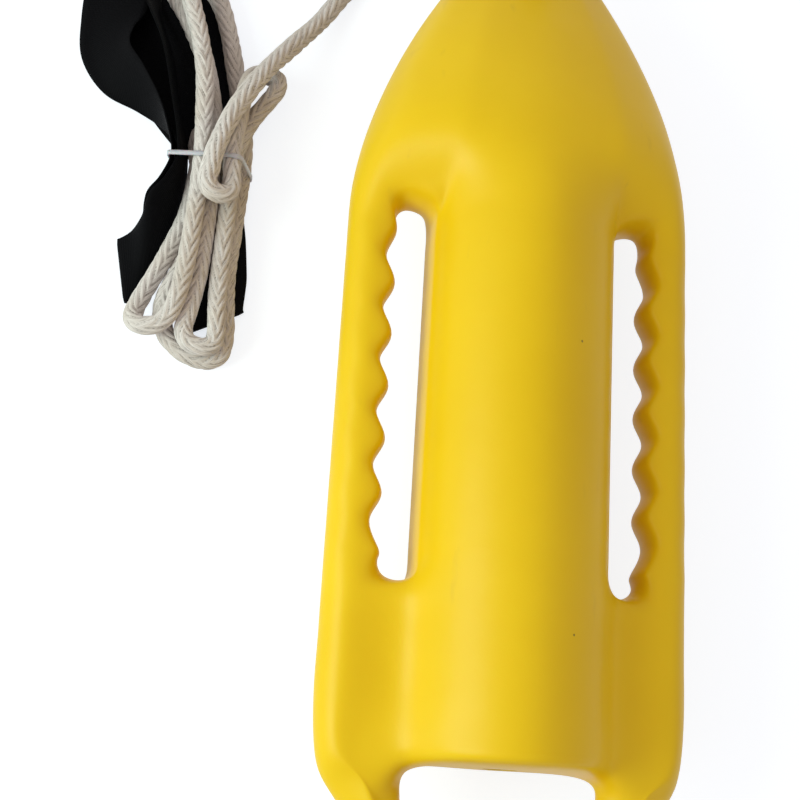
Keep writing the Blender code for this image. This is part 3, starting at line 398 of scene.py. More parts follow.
class Quads:
    """The can's surface as quads: a sheet above, one below, and walls between them.

    A point's key is its row and column or, in the tail's strip, its station, line and side.
    """

    def __init__(self):
        self.points, self.faces, self.top = [], [], {}

    def add(self, x, y, z):
        self.points.append((x, y, z))
        return len(self.points) - 1

    def put(self, key, upper, lower=None):
        """A point above and one below, its mirror image where lower isn't given."""
        x, y, z = lower or upper
        self.top[key] = (self.add(*upper), self.add(x, y, -z))

    def patch(self, *keys):
        self.faces.append([self.top[k][0] for k in keys])
        self.faces.append([self.top[k][1] for k in reversed(keys)])

    def wall(self, keys, lines):
        """Walls round a loop of keys; lines holds the points between top and bottom at each."""
        columns = []
        for key, line in zip(keys, lines):
            columns.append([self.top[key][0], *[self.add(*point) for point in line], self.top[key][1]])
        for left, right in zip(columns, columns[1:] + columns[:1]):
            for j in range(len(left) - 1):
                self.faces.append([left[j], right[j], right[j + 1], left[j + 1]])


def tail_stations():
    """Round the tail: the edge's angle, the gap's nearest point and the way out from there."""
    x, r = TAIL_GAP_HALF_WIDTH, TAIL_GAP_CORNER
    rear = GAP_REAR
    half = math.sqrt(0.5)
    return [
        (TAIL_FIRST, (x, TUBE_END), (1, 0)),
        (27.0, (x, (TUBE_END + rear) / 2), (1, 0)),
        (40.0, (x - 0.06 * r, rear + 0.62 * r), (0.94, -0.34)),
        (52.0, (x - 0.38 * r, rear + 0.16 * r), (half, -half)),
        (64.0, (x - 1.1 * r, rear), (0.1, -1)),
        (77.0, (x - 2.4 * r, rear), (0, -1)),
        (90.0, (0.0, rear), (0, -1)),
    ]


def can_surface():
    """Points that the can's surface passes through, and its quads."""
    q = Quads()
    grooves = groove_rows()
    tube_edge, back_edge = TUBE_END + TUBE_END_ROUND, SLOT_BACK - EDGE_ROUND
    rows = [tube_edge + (back_edge - tube_edge) * share for share in WING_SHARES]
    slot_first = len(rows)
    rows += [back_edge] + [y for y, _ in grooves] + [SLOT_FRONT + RIM_ROUND]
    slot_last = len(rows) - 1
    rows += [SLOT_FRONT + NOSE_LENGTH * share for share in NOSE_SHARES] + [NOSE_TIP - TIP_ROUND]
    last = len(rows) - 1
    foot = TUBE_HALF_WIDTH * math.sqrt(1 - (TUBE_FOOT_RISE / TUBE_RISE) ** 2)

    for i, y in enumerate(rows):
        wide = half_width(y)
        for k in range(EDGE + 1):
            pair = []
            for lag in (0.0, BELLY_LAG):
                x, z, at = COLUMNS[k] * wide, column_height(k, y, lag), y
                if slot_first < i <= slot_last + 1 and k == FOOT:
                    # Beside a slot on the tube's circle, and ahead of it step by step further out
                    x = foot + (x - foot) * max(0, 0.35 + 0.4 * (i - slot_last))
                if slot_first < i < slot_last and k == RIDGE:
                    groove = grooves[i - slot_first - 1][1]
                    x = SLOT_RIDGE_X + EDGE_ROUND + GROOVE_DEPTH * groove * RIM_GROOVE
                    z -= RIDGE_DROP
                if k == EDGE and wide > 0.9 * HALF_WIDTH:
                    x = wide - EDGE_ROUND
                if i == 0 and k >= FOOT:
                    at = TUBE_END + 0.35 * TUBE_END_ROUND
                if i == 0 and k == FOOT:
                    x = TAIL_GAP_HALF_WIDTH + 0.6 * EDGE_ROUND
                if i == 0 and k == EDGE:
                    x, at = tail_edge(TAIL_FIRST, EDGE_ROUND)
                if i == slot_last and k in (FOOT, RIDGE) and lag:
                    at += END_DRAFT
                if i == last:
                    z *= TIP_HIGH
                    x *= TIP_WIDE
                pair.append((x, at, z))
            for side in (1, -1) if k else (1,):
                q.put((i, k * side), *[(x * side, at, z) for x, at, z in pair])
    for i in range(last):
        for k in range(-EDGE, EDGE):
            if not (slot_first <= i < slot_last and k in (-RIDGE, FOOT)):
                q.patch((i, k), (i, k + 1), (i + 1, k + 1), (i + 1, k))
    tail_strip(q)
    slot_walls(q, grooves, slot_first, slot_last)
    tail_walls(q)
    outer_walls(q, rows)
    return np.array(q.points), q.faces


def tail_strip(q):
    """The strip that runs round the tail, with three lines from the gap outwards."""
    stations = tail_stations()
    for c in range(3):
        for side in (1, -1):
            q.top[0, c, side] = q.top[0, side * (c + FOOT)]
    for s, (angle, (x, y), (out_x, out_y)) in enumerate(stations[1:], 1):
        inset = TAIL_EDGE_SHARE * math.dist((x, y), tail_edge(angle))
        outer_x, outer_y = tail_edge(angle, inset)
        inner_x, inner_y = x + out_x * inset, y + out_y * inset
        middle = ((inner_x + outer_x) / 2, (inner_y + outer_y) / 2, GRIP_RISE)
        lines = ((inner_x, inner_y, GRIP_EDGE_RISE), middle, (outer_x, outer_y, GRIP_EDGE_RISE))
        for c, (x, y, z) in enumerate(lines):
            q.put((s, c, 1), (x, y, z))
            if s < TAIL_STEPS:
                q.put((s, c, -1), (-x, y, z))
            else:
                q.top[s, c, -1] = q.top[s, c, 1]
    for side in (1, -1):
        for s in range(TAIL_STEPS):
            for c in range(2):
                keys = [(s + ahead, c + out, side) for ahead, out in ((1, 0), (1, 1), (0, 1), (0, 0))]
                q.patch(*keys[::side])


def slot_walls(q, grooves, first, last):
    """Walls of the two side slots: along the grip with its grooves, and back along the tube."""
    back, front = SLOT_BACK + 0.0015, SLOT_FRONT + 0.0015
    grip = [(SLOT_RIDGE_X + GROOVE_DEPTH * groove, y) for y, groove in grooves]
    grip = [(SLOT_RIDGE_X - 0.0045, back), *grip, (SLOT_RIDGE_X - 0.0035, front)]
    tube = [(TUBE_HALF_WIDTH, y) for y, _ in grooves]
    tube = [(TUBE_HALF_WIDTH + 0.0045, SLOT_BACK), *tube, (TUBE_HALF_WIDTH + 0.0065, SLOT_FRONT)]
    loop = [(first + j, RIDGE, x, y) for j, (x, y) in enumerate(grip)]
    loop += [(first + j, FOOT, x, y) for j, (x, y) in enumerate(tube)][::-1]
    for side in (1, -1):
        lines = []
        for i, k, x, y in loop:
            x *= side
            across = GRIP_LEAN if k == RIDGE else TUBE_LEAN
            line = [(x, y, 0.0)]
            for place, rim in zip((0, 2), q.top[i, k * side]):
                rim_x, rim_y, rim_z = q.points[rim]
                along = END_LEAN if i == last and rim_z < 0 else across
                line.insert(place, (x + across * (rim_x - x), y + along * (rim_y - y), WALL_LINE * rim_z))
            lines.append(line)
        q.wall([(i, k * side) for i, k, _, _ in loop], lines)


def round_tail():
    """Stations and sides of the tail's strip, from the tube's right side round to its left."""
    return [(s, 1) for s in range(1, TAIL_STEPS + 1)] + [(s, -1) for s in range(TAIL_STEPS - 1, 0, -1)]


def tail_walls(q):
    """Walls of the gap: the tube's end, then round the grip."""
    r, high = TAIL_GAP_CORNER, 0.6 * GRIP_EDGE_RISE
    shoulder = column_height(1, TUBE_END) - 0.6 * TUBE_END_ROUND
    # From the middle outwards: x and height of the upper line, x of the middle line, setback of both
    tube_end = (
        (0.0, TUBE_RISE - TUBE_END_ROUND, 0.0, 0.0),
        (0.62 * TUBE_HALF_WIDTH, shoulder, 0.52 * TUBE_HALF_WIDTH, 0.0),
        (TAIL_GAP_HALF_WIDTH - 0.12 * r, high, TAIL_GAP_HALF_WIDTH - 0.25 * r, 0.25 * r),
    )
    keys, lines = [], []
    for k in (-2, -1, 0, 1, 2):
        x, z, mid_x, setback = tube_end[abs(k)]
        side = 1 if k > 0 else -1
        y = TUBE_END - setback
        keys.append((0, k))
        lines.append((x * side, y + 0.0012 * (abs(k) < 2), z, mid_x * side, y))
    for s, side in round_tail():
        keys.append((s, 0, side))
        x, y = tail_stations()[s][1]
        x *= side
        rim_x, rim_y, _ = q.points[q.top[keys[-1]][0]]
        lines.append((x + 0.25 * (rim_x - x), y + 0.25 * (rim_y - y), high, x, y))
    q.wall(keys, [[(x, y, z), (mid_x, mid_y, 0.0), (x, y, -z)] for x, y, z, mid_x, mid_y in lines])


def outer_walls(q, rows):
    """The outer wall: up the right side, round the tip, down the left side and round the tail."""
    last = len(rows) - 1
    wide = half_width(rows[last])
    edge = [tail_edge(TAIL_FIRST)] + [(half_width(y), y) for y in rows[1:last]]
    loop = [((i, EDGE), x, y) for i, (x, y) in enumerate(edge)]
    for k in range(EDGE, -EDGE - 1, -1):
        angle = math.radians(90 - TIP_TURN * k)
        loop.append(((last, k), wide * math.cos(angle), rows[last] + TIP_ROUND * math.sin(angle)))
    loop += [((i, -EDGE), -edge[i][0], edge[i][1]) for i in range(last - 1, -1, -1)]
    for s, side in round_tail():
        x, y = tail_edge(tail_stations()[s][0])
        loop.append(((s, 2, -side), -side * x, y))
    q.wall([key for key, _, _ in loop], [[(x, y, 0.0)] for _, x, y in loop])


def smooth_cage(points, faces):
    """The control points whose subdivided surface passes through the given points."""
    n = len(points)
    edges, across = np.zeros((n, n)), np.zeros((n, n))
    for face in faces:
        for j, v in enumerate(face):
            edges[v, [face[j - 1], face[(j + 1) % 4]]] = 1
            across[v, face[(j + 2) % 4]] += 1
    valence = edges.sum(axis=1)[:, None]
    limit = (valence**2 * np.eye(n) + 4 * edges + across) / (valence * (valence + 5))
    return np.linalg.solve(limit, points)


def turned(name, profile, smooth, steps=48):
    """A solid of revolution about its own Z from (radius, height) points that run up its outside."""
    angles = [2 * math.pi * k / steps for k in range(steps)]
    points = [(r * math.cos(a), r * math.sin(a), height) for r, height in profile for a in angles]
    points += [(0, 0, profile[0][1]), (0, 0, profile[-1][1])]
    mesh = new_mesh(name, points, capped_faces(len(profile), steps))
    if smooth:
        mesh.shade_smooth()
        mesh.set_sharp_from_angle(angle=math.radians(40))
    return linked(name, mesh)


def box(name, centre, size):
    bm = bmesh.new()
    bmesh.ops.create_cube(bm, size=1.0, matrix=Matrix.Translation(centre) @ Matrix.Diagonal((*size, 1.0)))
    mesh = bpy.data.meshes.new(name)
    bm.to_mesh(mesh)
    bm.free()
    return linked(name, mesh)


def cut(obj, cutters):
    """Takes the cutters out of the object, applies its modifiers and removes the cutters."""
    for cutter in cutters:
        mod = obj.modifiers.new(cutter.name, "BOOLEAN")
        mod.operation = "DIFFERENCE"
        mod.solver = "EXACT"
        mod.object = cutter
    mesh = bpy.data.meshes.new_from_object(obj.evaluated_get(bpy.context.evaluated_depsgraph_get()))
    obj.modifiers.clear()
    obj.data = mesh
    for cutter in cutters:
        bpy.data.objects.remove(cutter)


def make_float(mat):
    """The can's shell with its belly cut flat, the nose eye and the plug's bore."""
    points, faces = can_surface()
    cage = smooth_cage(points, faces)
    cage[:, 2] += AXIS_Z
    shell = mesh_object("float_body", cage, faces, mat)
    shell.modifiers.new("rounding", "SUBSURF").levels = 3
    below = 0.02
    land = box("land_cutter", (0, 0, -below / 2), (2 * CAN_WIDTH, 2 * CAN_LENGTH, below))
    upper = [(EYE_RADIUS + EYE_MOUTH * out, TAB_RISE + EYE_MOUTH * up) for out, up in EYE_MOUTH_LINE]
    lower = [(radius, -height) for radius, height in reversed(upper)]
    eye = turned("eye_cutter", lower + upper, smooth=True)
    eye.location = (0, EYE_Y, AXIS_Z)
    wide = HEAD_RADIUS + 2 * SHANK_CLEARANCE
    profile = [(wide, -0.01), (wide, PLUG_DEPTH), (BORE_RADIUS, PLUG_DEPTH), (BORE_RADIUS, 0.03)]
    bore = turned("bore_cutter", profile, smooth=False)
    bore.location = (0, TUBE_END, AXIS_Z)
    bore.rotation_euler = (-math.pi / 2, 0, 0)
    cut(shell, (land, eye, bore))
    return shell


# Lines and their lengths


def distances(line):
    """How far along a line each of its points is."""
    return np.concatenate([[0.0], np.cumsum(np.linalg.norm(np.diff(line, axis=0), axis=1))])


def unit(rows):
    return rows / np.linalg.norm(rows, axis=1)[:, None]


def points_at(places, along, line):
    """The points at given places on a line whose own points are at the places in along."""
    return np.stack([np.interp(places, along, line[:, k]) for k in range(3)], axis=1)


def smooth_line(points, step, bend=0.0):
    """Points about a step apart on a smooth curve, and by bend steps a radian closer where it turns."""
    p = np.array(points, float)
    p = np.vstack([2 * p[0] - p[1], p, 2 * p[-1] - p[-2]])
    fine = []
    for j in range(1, len(p) - 2):
        a, b, c, d = p[j - 1 : j + 3]
        for t in np.linspace(0, 1, 24, endpoint=False):
            square = 2 * a - 5 * b + 4 * c - d
            cube = 3 * b - a - 3 * c + d
            fine.append(0.5 * (2 * b + (c - a) * t + square * t**2 + cube * t**3))
    fine = np.array([*fine, p[-2]])
    legs = np.diff(fine, axis=0)
    lengths = np.linalg.norm(legs, axis=1)
    turns = np.einsum("ij,ij->i", legs[1:], legs[:-1]) / (lengths[1:] * lengths[:-1])
    turns = np.concatenate([[0.0], np.arccos(np.clip(turns, -1, 1))])
    along = np.concatenate([[0.0], np.cumsum(lengths / step + bend * turns)])
    return points_at(np.linspace(0, along[-1], round(along[-1]) + 1), along, fine)


def mixed(a, b, t, start, end):
    return a + (b - a) * (t - start) / (end - start)


def through(places, step):
    """Places a step apart on a smooth curve through the given ones, which may stand unevenly."""
    fine = []
    ends = np.vstack([2 * places[0] - places[1], places, 2 * places[-1] - places[-2]])
    for j in range(1, len(ends) - 2):
        p = ends[j - 1 : j + 3]
        legs = np.linalg.norm(np.diff(p[:, :3], axis=0), axis=1)
        knots = np.concatenate([[0.0], np.cumsum(np.sqrt(legs))])
        count = max(1, round(legs[1] / step))
        for k in range(count):
            t = knots[1] + (knots[2] - knots[1]) * k / count
            row = [mixed(p[m], p[m + 1], t, knots[m], knots[m + 1]) for m in range(3)]
            row = [mixed(row[m], row[m + 1], t, knots[m], knots[m + 2]) for m in range(2)]
            fine.append(mixed(*row, t, knots[1], knots[2]))
    fine.append(places[-1])
    return np.array(fine)


# The rope's route, as in the solids

WAIST_Y = 0.134
UNDER_ROPE = 0.007  # what lies under the rope at the tie: the tie and two layers of strap
HEX = PITCH * math.sqrt(3) / 2  # rise to a strand that lies between two others
FIRST = UNDER_ROPE + ROPE_DIAMETER / 2  # height of the lowest strands' middle
WAIST = {
    "left_1": (-0.2318, FIRST),
    "middle_1": (-0.2183, FIRST),
    "right_1": (-0.2048, FIRST),
    "left_2": (-0.22505, FIRST + HEX),
    "right_2": (-0.21155, FIRST + HEX),
    "left_3": (-0.2318, FIRST + 2 * HEX),
    "right_3": (-0.21, FIRST + HEX + PITCH),
    "top": (-0.224, FIRST + HEX + 2 * PITCH + TIE_THICKNESS + 5 * SEAT),
}
ON_STRAP = (0.016, 0.24)  # stretch of Y where the hank lies on the strap
STRAP_STACK = 0.0062  # height of the strap's folds there
HANK_STARTS = (-0.1761, 0.2371, 0.03)
HANK_ENDS = (-0.265, 0.316, 0.04)
LEAD_ROUTE = (
    (0.0, EYE_Y, AXIS_Z + TAB_RISE + 0.0015),
    (0.0, EYE_Y, 0.065),
    (0.0, EYE_Y, 0.048),
    (-0.003, EYE_Y, 0.031),
    (-0.016, EYE_Y + 0.002, 0.016),
    (-0.04, 0.336, 0.0082),
    (-0.07, 0.341, 0.0069),
    (-0.1, 0.337, 0.0069),
    (-0.129, 0.313, 0.008),
    (-0.1525, 0.274, 0.015),
)
HANK_START = (
    (-0.189, 0.216, 0.04),
    (-0.202, 0.1915, 0.0485),
    (-0.215, 0.164, 0.0525),
)
HANK_END = (
    (-0.234, 0.164, 0.0395),
    (-0.237, 0.2, 0.0405),
    (-0.2445, 0.235, 0.0385),
    (-0.254, 0.265, 0.0365),
    (-0.2605, 0.295, 0.0385),
)
INTO_HANK = (HANK_STARTS, np.subtract(HANK_START[0], HANK_STARTS))
INTO_STRAP_KNOT = (HANK_ENDS, np.subtract(HANK_ENDS, HANK_END[-1]))
STRAP_KNOT = (-0.272, 0.336, 0.0232)
STRAP_KNOT_RADIUS = 0.0092


def between(values, t):
    """Height at a share t of a bight, through heights an even share apart."""
    place = t * (len(values) - 1)
    j = min(int(place), len(values) - 2)
    f = place - j
    f = f * f * (3 - 2 * f)
    return values[j] + (values[j + 1] - values[j]) * f


def bight(start, end, reach, lean, swell, heights, blunt=0.05, late=1, steps=12):
    """Points of one bight that leaves the tie at start and comes back to it at end.

    reach is how far off its tip is, lean how far the tip stands aside, and swell how far its
    strands go out, the first to the left and the second to the right. late moves the widest
    place towards the tip, and blunt flattens the tip.
    """
    (x0, z0), (x1, z1) = WAIST[start], WAIST[end]
    widest = math.atan(math.sqrt(late + 1))
    most = 2 * math.sin(widest) ** (late + 1) * math.cos(widest)
    line = []
    for j in range(1, steps + 1):
        t = j / steps
        a = math.pi * t
        out = (math.sin(a) + blunt * math.sin(3 * a)) / (1 - blunt)
        part = math.sin(2 * a) * math.sin(a) ** late / most
        share = (1 - math.cos(a)) / 2
        part *= swell[0] + (swell[1] - swell[0]) * share
        x = (x0 + x1) / 2 + (x0 - x1) / 2 * math.cos(a) - part + lean * out * out
        line.append((x, WAIST_Y + reach * out, between((z0, *heights, z1), t)))
    return line


def hank_route():
    low = 0.0131
    inner = (0.051, 0.046, 0.041)
    aside = (0.03, 0.018, 0.0225)
    down = (0.024, 0.025, 0.026)
    up = (0.0275, 0.022, 0.0125, 0.01, 0.01, 0.0125, 0.013)
    line = [HANK_STARTS, *HANK_START]
    line.append((WAIST["top"][0], WAIST_Y, WAIST["top"][1]))
    line += bight("top", "right_3", -0.031, 0, (0.0065, 0.003), inner, blunt=0, steps=8)
    line += bight("right_3", "right_2", 0.083, 0.0205, (0.0055, 0.016), aside, blunt=0, late=2)
    line += bight("right_2", "left_2", -0.14, -0.003, (-0.004, -0.014), down, late=3)
    line += bight("left_2", "right_1", 0.167, -0.046, (0.013, 0.013), up, blunt=0, late=3)
    line += bight("right_1", "middle_1", -0.145, -0.006, (0.003, -0.042), (low, 0.007, low), blunt=0)
    line += bight("middle_1", "left_1", 0.036, 0.002, (-0.0075, -0.005), (low, low, low), blunt=0)
    line += bight("left_1", "left_3", -0.131, -0.024, (0.015, 0.012), (low, 0.0245, 0.031))
    line += [*HANK_END, HANK_ENDS]
    return line


def parted(start, diameter, gap, rounds=400):
    """The line with its strands moved to a gap clear of each other, and above surface and strap."""
    moved = np.zeros_like(start)
    on_strap = (start[:, 1] > ON_STRAP[0]) & (start[:, 1] < ON_STRAP[1])
    lowest = diameter / 2 + SEAT + np.where(on_strap, STRAP_STACK, 0.0)
    step = np.linalg.norm(start[1] - start[0])
    apart = math.ceil(2.6 * diameter / step)
    first, second = np.triu_indices(len(start), apart)
    for _ in range(rounds):
        place = start + moved
        away = place[first] - place[second]
        distance = np.linalg.norm(away, axis=1)
        near = distance < diameter + gap
        push = away[near] * ((diameter + gap - distance[near]) / distance[near] * 0.3)[:, None]
        np.add.at(moved, first[near], push)
        np.add.at(moved, second[near], -push)
        moved[1:-1] += 0.25 * (moved[2:] + moved[:-2] - 2 * moved[1:-1])
        moved[[0, -1]] = 0
        moved[:, 2] = np.maximum(moved[:, 2], lowest - start[:, 2])
    return start + moved


def joined_end(line, place, out):
    """The line ending square and straight at a joint: out points out of it, along the rope."""
    place, out = np.array(place), np.array(out) / np.linalg.norm(out)
    left = distances(line[::-1])[::-1]
    kept = line[left > 1.5 * ROPE_DIAMETER]
    return np.array([*kept, place - ROPE_DIAMETER * out, place - SEAT / 2 * out])


def piece(line, first, last=None):
    """The points of a piece's tube: first and last give the place and direction of its joints."""
    line = smooth_line(line, 0.016, 2.4)
    line = joined_end(line[::-1], first[0], -np.array(first[1]))[::-1]
    return line if last is None else joined_end(line, *last)


def hank_line():
    line = parted(smooth_line(hank_route(), 0.005), ROPE_DIAMETER, 0.0009)
    return piece(line, INTO_HANK, INTO_STRAP_KNOT)


def lead_line():
    line = smooth_line(LEAD_ROUTE + (HANK_STARTS, HANK_START[0]), 0.004)
    line = line[: np.argmin(np.linalg.norm(line - HANK_STARTS, axis=1))]
    return piece(line, (LEAD_ROUTE[0], (0.0, 0.0, -1.0)), INTO_HANK)


def nose_knot_line():
    """The rope comes up out of the eye, turns over and winds down round itself."""
    top = LEAD_ROUTE[0][2]
    turns, steps = 1.7, 14
    radius, pitch = PITCH + 0.002, PITCH + 0.0012
    arch = 0.0088
    high = top + ROPE_DIAMETER / 2 + turns * pitch + 1.25 * arch + 0.0009
    line = [(0.0, EYE_Y, top + (high - top) * share) for share in np.linspace(0, 1, 5)]
    for angle in (150, 120, 90, 60, 30, 0):
        a = math.radians(angle)
        line.append((arch + arch * math.cos(a), EYE_Y, high + arch * math.sin(a)))
    line.append((0.0174, EYE_Y + 0.002, high - 0.6 * arch))
    line.append((0.0166, EYE_Y + 0.006, high - 1.05 * arch))
    for j in range(round(turns * steps)):
        angle = math.radians(40) + 2 * math.pi * j / steps
        reach = radius + 0.001 * math.exp(-j / 2)
        height = high - 1.25 * arch - pitch * j / steps
        line.append((reach * math.cos(angle), EYE_Y + reach * math.sin(angle), height))
    return piece(line, (LEAD_ROUTE[0], (0.0, 0.0, 1.0)))


def strap_knot_line():
    """The rope's end winds round the strap's two ends."""
    x, y, z = STRAP_KNOT
    place, out = INTO_STRAP_KNOT
    line = [np.array(place), place + ROPE_DIAMETER * out / np.linalg.norm(out)]
    steps = 12
    for j in range(27):
        angle = math.radians(108) + 2 * math.pi * j / steps
        radius = STRAP_KNOT_RADIUS + ROPE_DIAMETER / 2 + 0.0015 * (j == 0)
        along = y + (PITCH + 0.0008) * j / steps
        line.append((x + radius * math.cos(angle), along, z + radius * math.sin(angle)))
    return piece(line, INTO_STRAP_KNOT)


def rope_line(hank):
    """The whole rope's middle line, from its end at the nose knot to its end at the strap."""
    nose, lead, strap = nose_knot_line(), lead_line(), strap_knot_line()
    return np.concatenate([nose[::-1][:-1], lead[1:-1], hank[1:-1], strap[1:]])


# The rope is a plait: four columns of slanting strands round it, which lean to and fro in turn

COLUMN_PITCH = 0.0112  # from one strand to the next down a column
COLUMN_LEAN = 2.1  # how far a strand runs down the rope across its column, in pitches
CROWN_RADIUS = 0.0074  # to the top of a strand
SEAM_DEPTH = 0.0023
BRAID_SIDES = 48
BRAID_STEP = 0.001
END_ROUND = 0.003  # length over which a cut end is rounded
YARN_APART = 50.0  # keeps the yarn of the two sets of columns from showing the same flecks


def plait(around, along, column):
    """Height, and place across and along the strand, in one of two sets of columns; around is 0 to 1."""
    x = (4 * around - 0.5 - column + 1) % 2 - 1
    lean = COLUMN_LEAN if column == 0 else -COLUMN_LEAN
    uneven = 0.13 * np.sin(along * 97.0) + 0.09 * np.sin(along * 211.0)
    across = along / COLUMN_PITCH + lean * x + 0.5 * column + uneven
    share = across % 1.0
    fullness = 0.9 + 0.1 * np.sin(7.3 * np.floor(across) + 2.0 * column)
    crown = (0.25 + 0.75 * np.sin(math.pi * share) ** 0.6 + 0.16 * (share - 0.5)) * fullness
    height = crown * np.sqrt(np.clip(1 - (x / 0.7) ** 2, 0, 1))
    return height, across, along / COLUMN_PITCH - x / lean


def braided_tube(name, line, mat):
    """The rope and its line. Its mesh keeps the plait's height and each face's place in the yarn."""
    line = smooth_line(line, BRAID_STEP)
    along = distances(line)
    tangents = unit(np.gradient(line, axis=0))
    count, sides = len(line), BRAID_SIDES
    around, run = np.meshgrid(np.arange(sides + 1) / sides, along)
    heights, *yarns = zip(*[plait(around, run, column) for column in (0, 1)])
    top = heights[0] >= heights[1]
    height = np.where(top, *heights)
    end = np.minimum(along, along[-1] - along)
    taper = 0.75 + 0.25 * np.sqrt(1 - (1 - np.minimum(end / END_ROUND, 1)) ** 2)
    radius = (CROWN_RADIUS - SEAM_DEPTH * (1 - height)) * taper[:, None]
    angles = 2 * math.pi * around[0, :-1]
    side = np.cross(tangents[0], (0.31, 0.52, 0.8))
    points = []
    for place, t, r in zip(line, tangents, radius[:, :-1]):
        side = side - t * (side @ t)
        side /= np.linalg.norm(side)
        ring = np.outer(r * np.cos(angles), side), np.outer(r * np.sin(angles), np.cross(t, side))
        points.append(place + ring[0] + ring[1])
    points = np.concatenate(points + [line[:1], line[-1:]])
    mesh = new_mesh(name, points, capped_faces(count, sides), mat)
    raised = np.append(height[:, :-1].ravel(), [0.5, 0.5]).astype(np.float32)
    mesh.attributes.new("braid_height", "FLOAT", "POINT").data.foreach_set("value", raised)
    flat = np.zeros((count - 1, sides, 4, 2))
    for corner, (down, over) in enumerate(((0, 0), (0, 1), (1, 1), (1, 0))):
        rows, columns = slice(down, count - 1 + down), slice(over, sides + over)
        for axis, (first, second) in enumerate(yarns):
            shown = np.where(top[:-1, :-1], first[rows, columns], second[rows, columns] + YARN_APART)
            flat[:, :, corner, axis] = shown
    flat = np.append(flat.ravel(), np.zeros(12 * sides)).astype(np.float32)
    mesh.uv_layers.new(name="yarn").data.foreach_set("uv", flat)
    mesh.shade_smooth()
    return linked(name, mesh), line


# The strap: x, y, z of its middle, direction across it, width and lowest height, in millimetres

LAYER = 2.5  # from the middle of one layer to the next
ON_FLOOR = 1.2  # the middle of the lowest layer
LAYER_DROP = 2.7  # how much lower a second layer may lie than the first
STRAP_END_1 = (
    (-272, 391, 26.2, -1, 0, 0, 22, 1.2),
    (-272, 380, 25.8, -1, 0, 0, 13, 1.2),
    (-272, 331, 25.8, -1, 0, 0, 13, 1.2),
    (-278, 309, 29, -0.9, 0, 0.43, 18, 1.2),
    (-284, 286, 33, -0.7, 0, 0.71, 25, 1.2),
    (-282, 260, 30, -0.45, 0, 0.89, 30, 1.2),
    (-267, 225, 27, -0.3, 0, 0.95, 33, 1.2),
    (-256, 182, 26, -0.26, 0, 0.97, 34, 8.0),
    (-248.5, 150, 25, -0.26, 0, 0.97, 34, 8.0),
)
STRAP_LOWER_1 = (
    (-247, 134, 24, -0.26, 0, 0.97, 33, 8.0),
    (-251, 113, 22, -0.42, 0.15, 0.89, 35, 4.0),
    (-258, 95, 20, -0.42, 0.48, 0.77, 41, 4.0),
    (-264, 79, 16.5, -0.25, 0.78, 0.57, 46, 4.0),
    (-269, 66, 11.5, -0.14, 0.93, 0.32, 49, 4.0),
    (-274.5, 57, 6.2, -0.16, 0.98, 0.08, 50, 4.0),
)
STRAP_UPPER = (
    (-256, 154, 24, -0.25, 0.05, 0.97, 33, 8.0),
    (-266, 172, 23.5, -0.15, 0.3, 0.94, 36, 8.0),
    (-284, 191, 21, 0.05, 0.55, 0.83, 42, 6.6),
    (-303, 207, 17, 0.35, 0.7, 0.62, 46, 6.4),
    (-312, 229, 13, 0.75, 0.5, 0.43, 49, 6.4),
    (-311, 254, 9.5, 0.95, 0.2, 0.22, 50, 6.4),
    (-310, 280, 7.2, 1, 0.05, 0.05, 50, 6.4),
    (-309, 305, 6.4, 1, 0, 0, 50, 6.4),
)
STRAP_BACK = (
    (-308, 300, 3.8, 1, 0, 0, 50, 3.8),
    (-301, 270, 3.8, 0.97, 0.24, 0, 50, 3.8),
    (-286, 240, 3.8, 0.9, 0.43, 0, 50, 3.8),
    (-262, 200, 3.8, 0.88, 0.47, 0, 48, 3.8),
    (-238, 166, 4.4, 0.93, 0.37, 0, 42, 3.8),
    (-222, 144, 5.3, 1, 0.05, 0, 36, 3.8),
    (-219, 132, 5.3, 1, 0, 0, 36, 3.8),
    (-218, 110, 4.4, 1, 0, 0, 40, 3.8),
    (-217, 88, 3.8, 1, 0, 0, 46, 3.8),
    (-216, 62, 3.8, 1, 0.05, 0, 50, 3.8),
    (-214, 38, 3.8, 0.94, 0.34, 0, 50, 3.8),
)
STRAP_END_2 = (  # its first six places are a layer under the last of STRAP_BACK
    *[(x, y, z - LAYER, *place[:-1], ON_FLOOR) for x, y, z, *place in STRAP_BACK[:-7:-1]],
    (-235, 174, 1.5, 0.95, 0.3, 0, 42, 1.2),
    (-238, 212, 1.2, 0.95, 0.3, 0, 50, 1.2),
    (-246, 250, 1.2, 0.97, 0.25, 0, 50, 1.2),
    (-256, 275, 1.2, 0.98, 0.2, 0, 44, 1.2),
    (-265, 296, 1.3, 1, 0, 0, 26, 1.2),
    (-271, 309, 3.0, 1, 0, 0, 16, 1.2),
    (-272, 321, 12.0, 1, 0, 0, 13, 1.2),
    (-272, 334, 20.0, 1, 0, 0, 13, 1.2),
    (-272, 350, 20.6, 1, 0, 0, 13, 1.2),
    (-272, 380, 20.6, 1, 0, 0, 13, 1.2),
    (-272, 392, 20.0, 1, 0, 0, 20, 1.2),
)


def folded_over(x, y, z, out, across):
    """Places round a flat fold: z is the upper layer's height, out points to the fold's edge."""
    half = LAYER / 2
    places = []
    for angle in (0, 45, 90, 135, 180):
        a = math.radians(angle)
        reach = half * math.sin(a)
        height = z - half + half * math.cos(a)
        places.append((x + out[0] * reach, y + out[1] * reach, height, *across, 0, 50, 0.0))
    return places


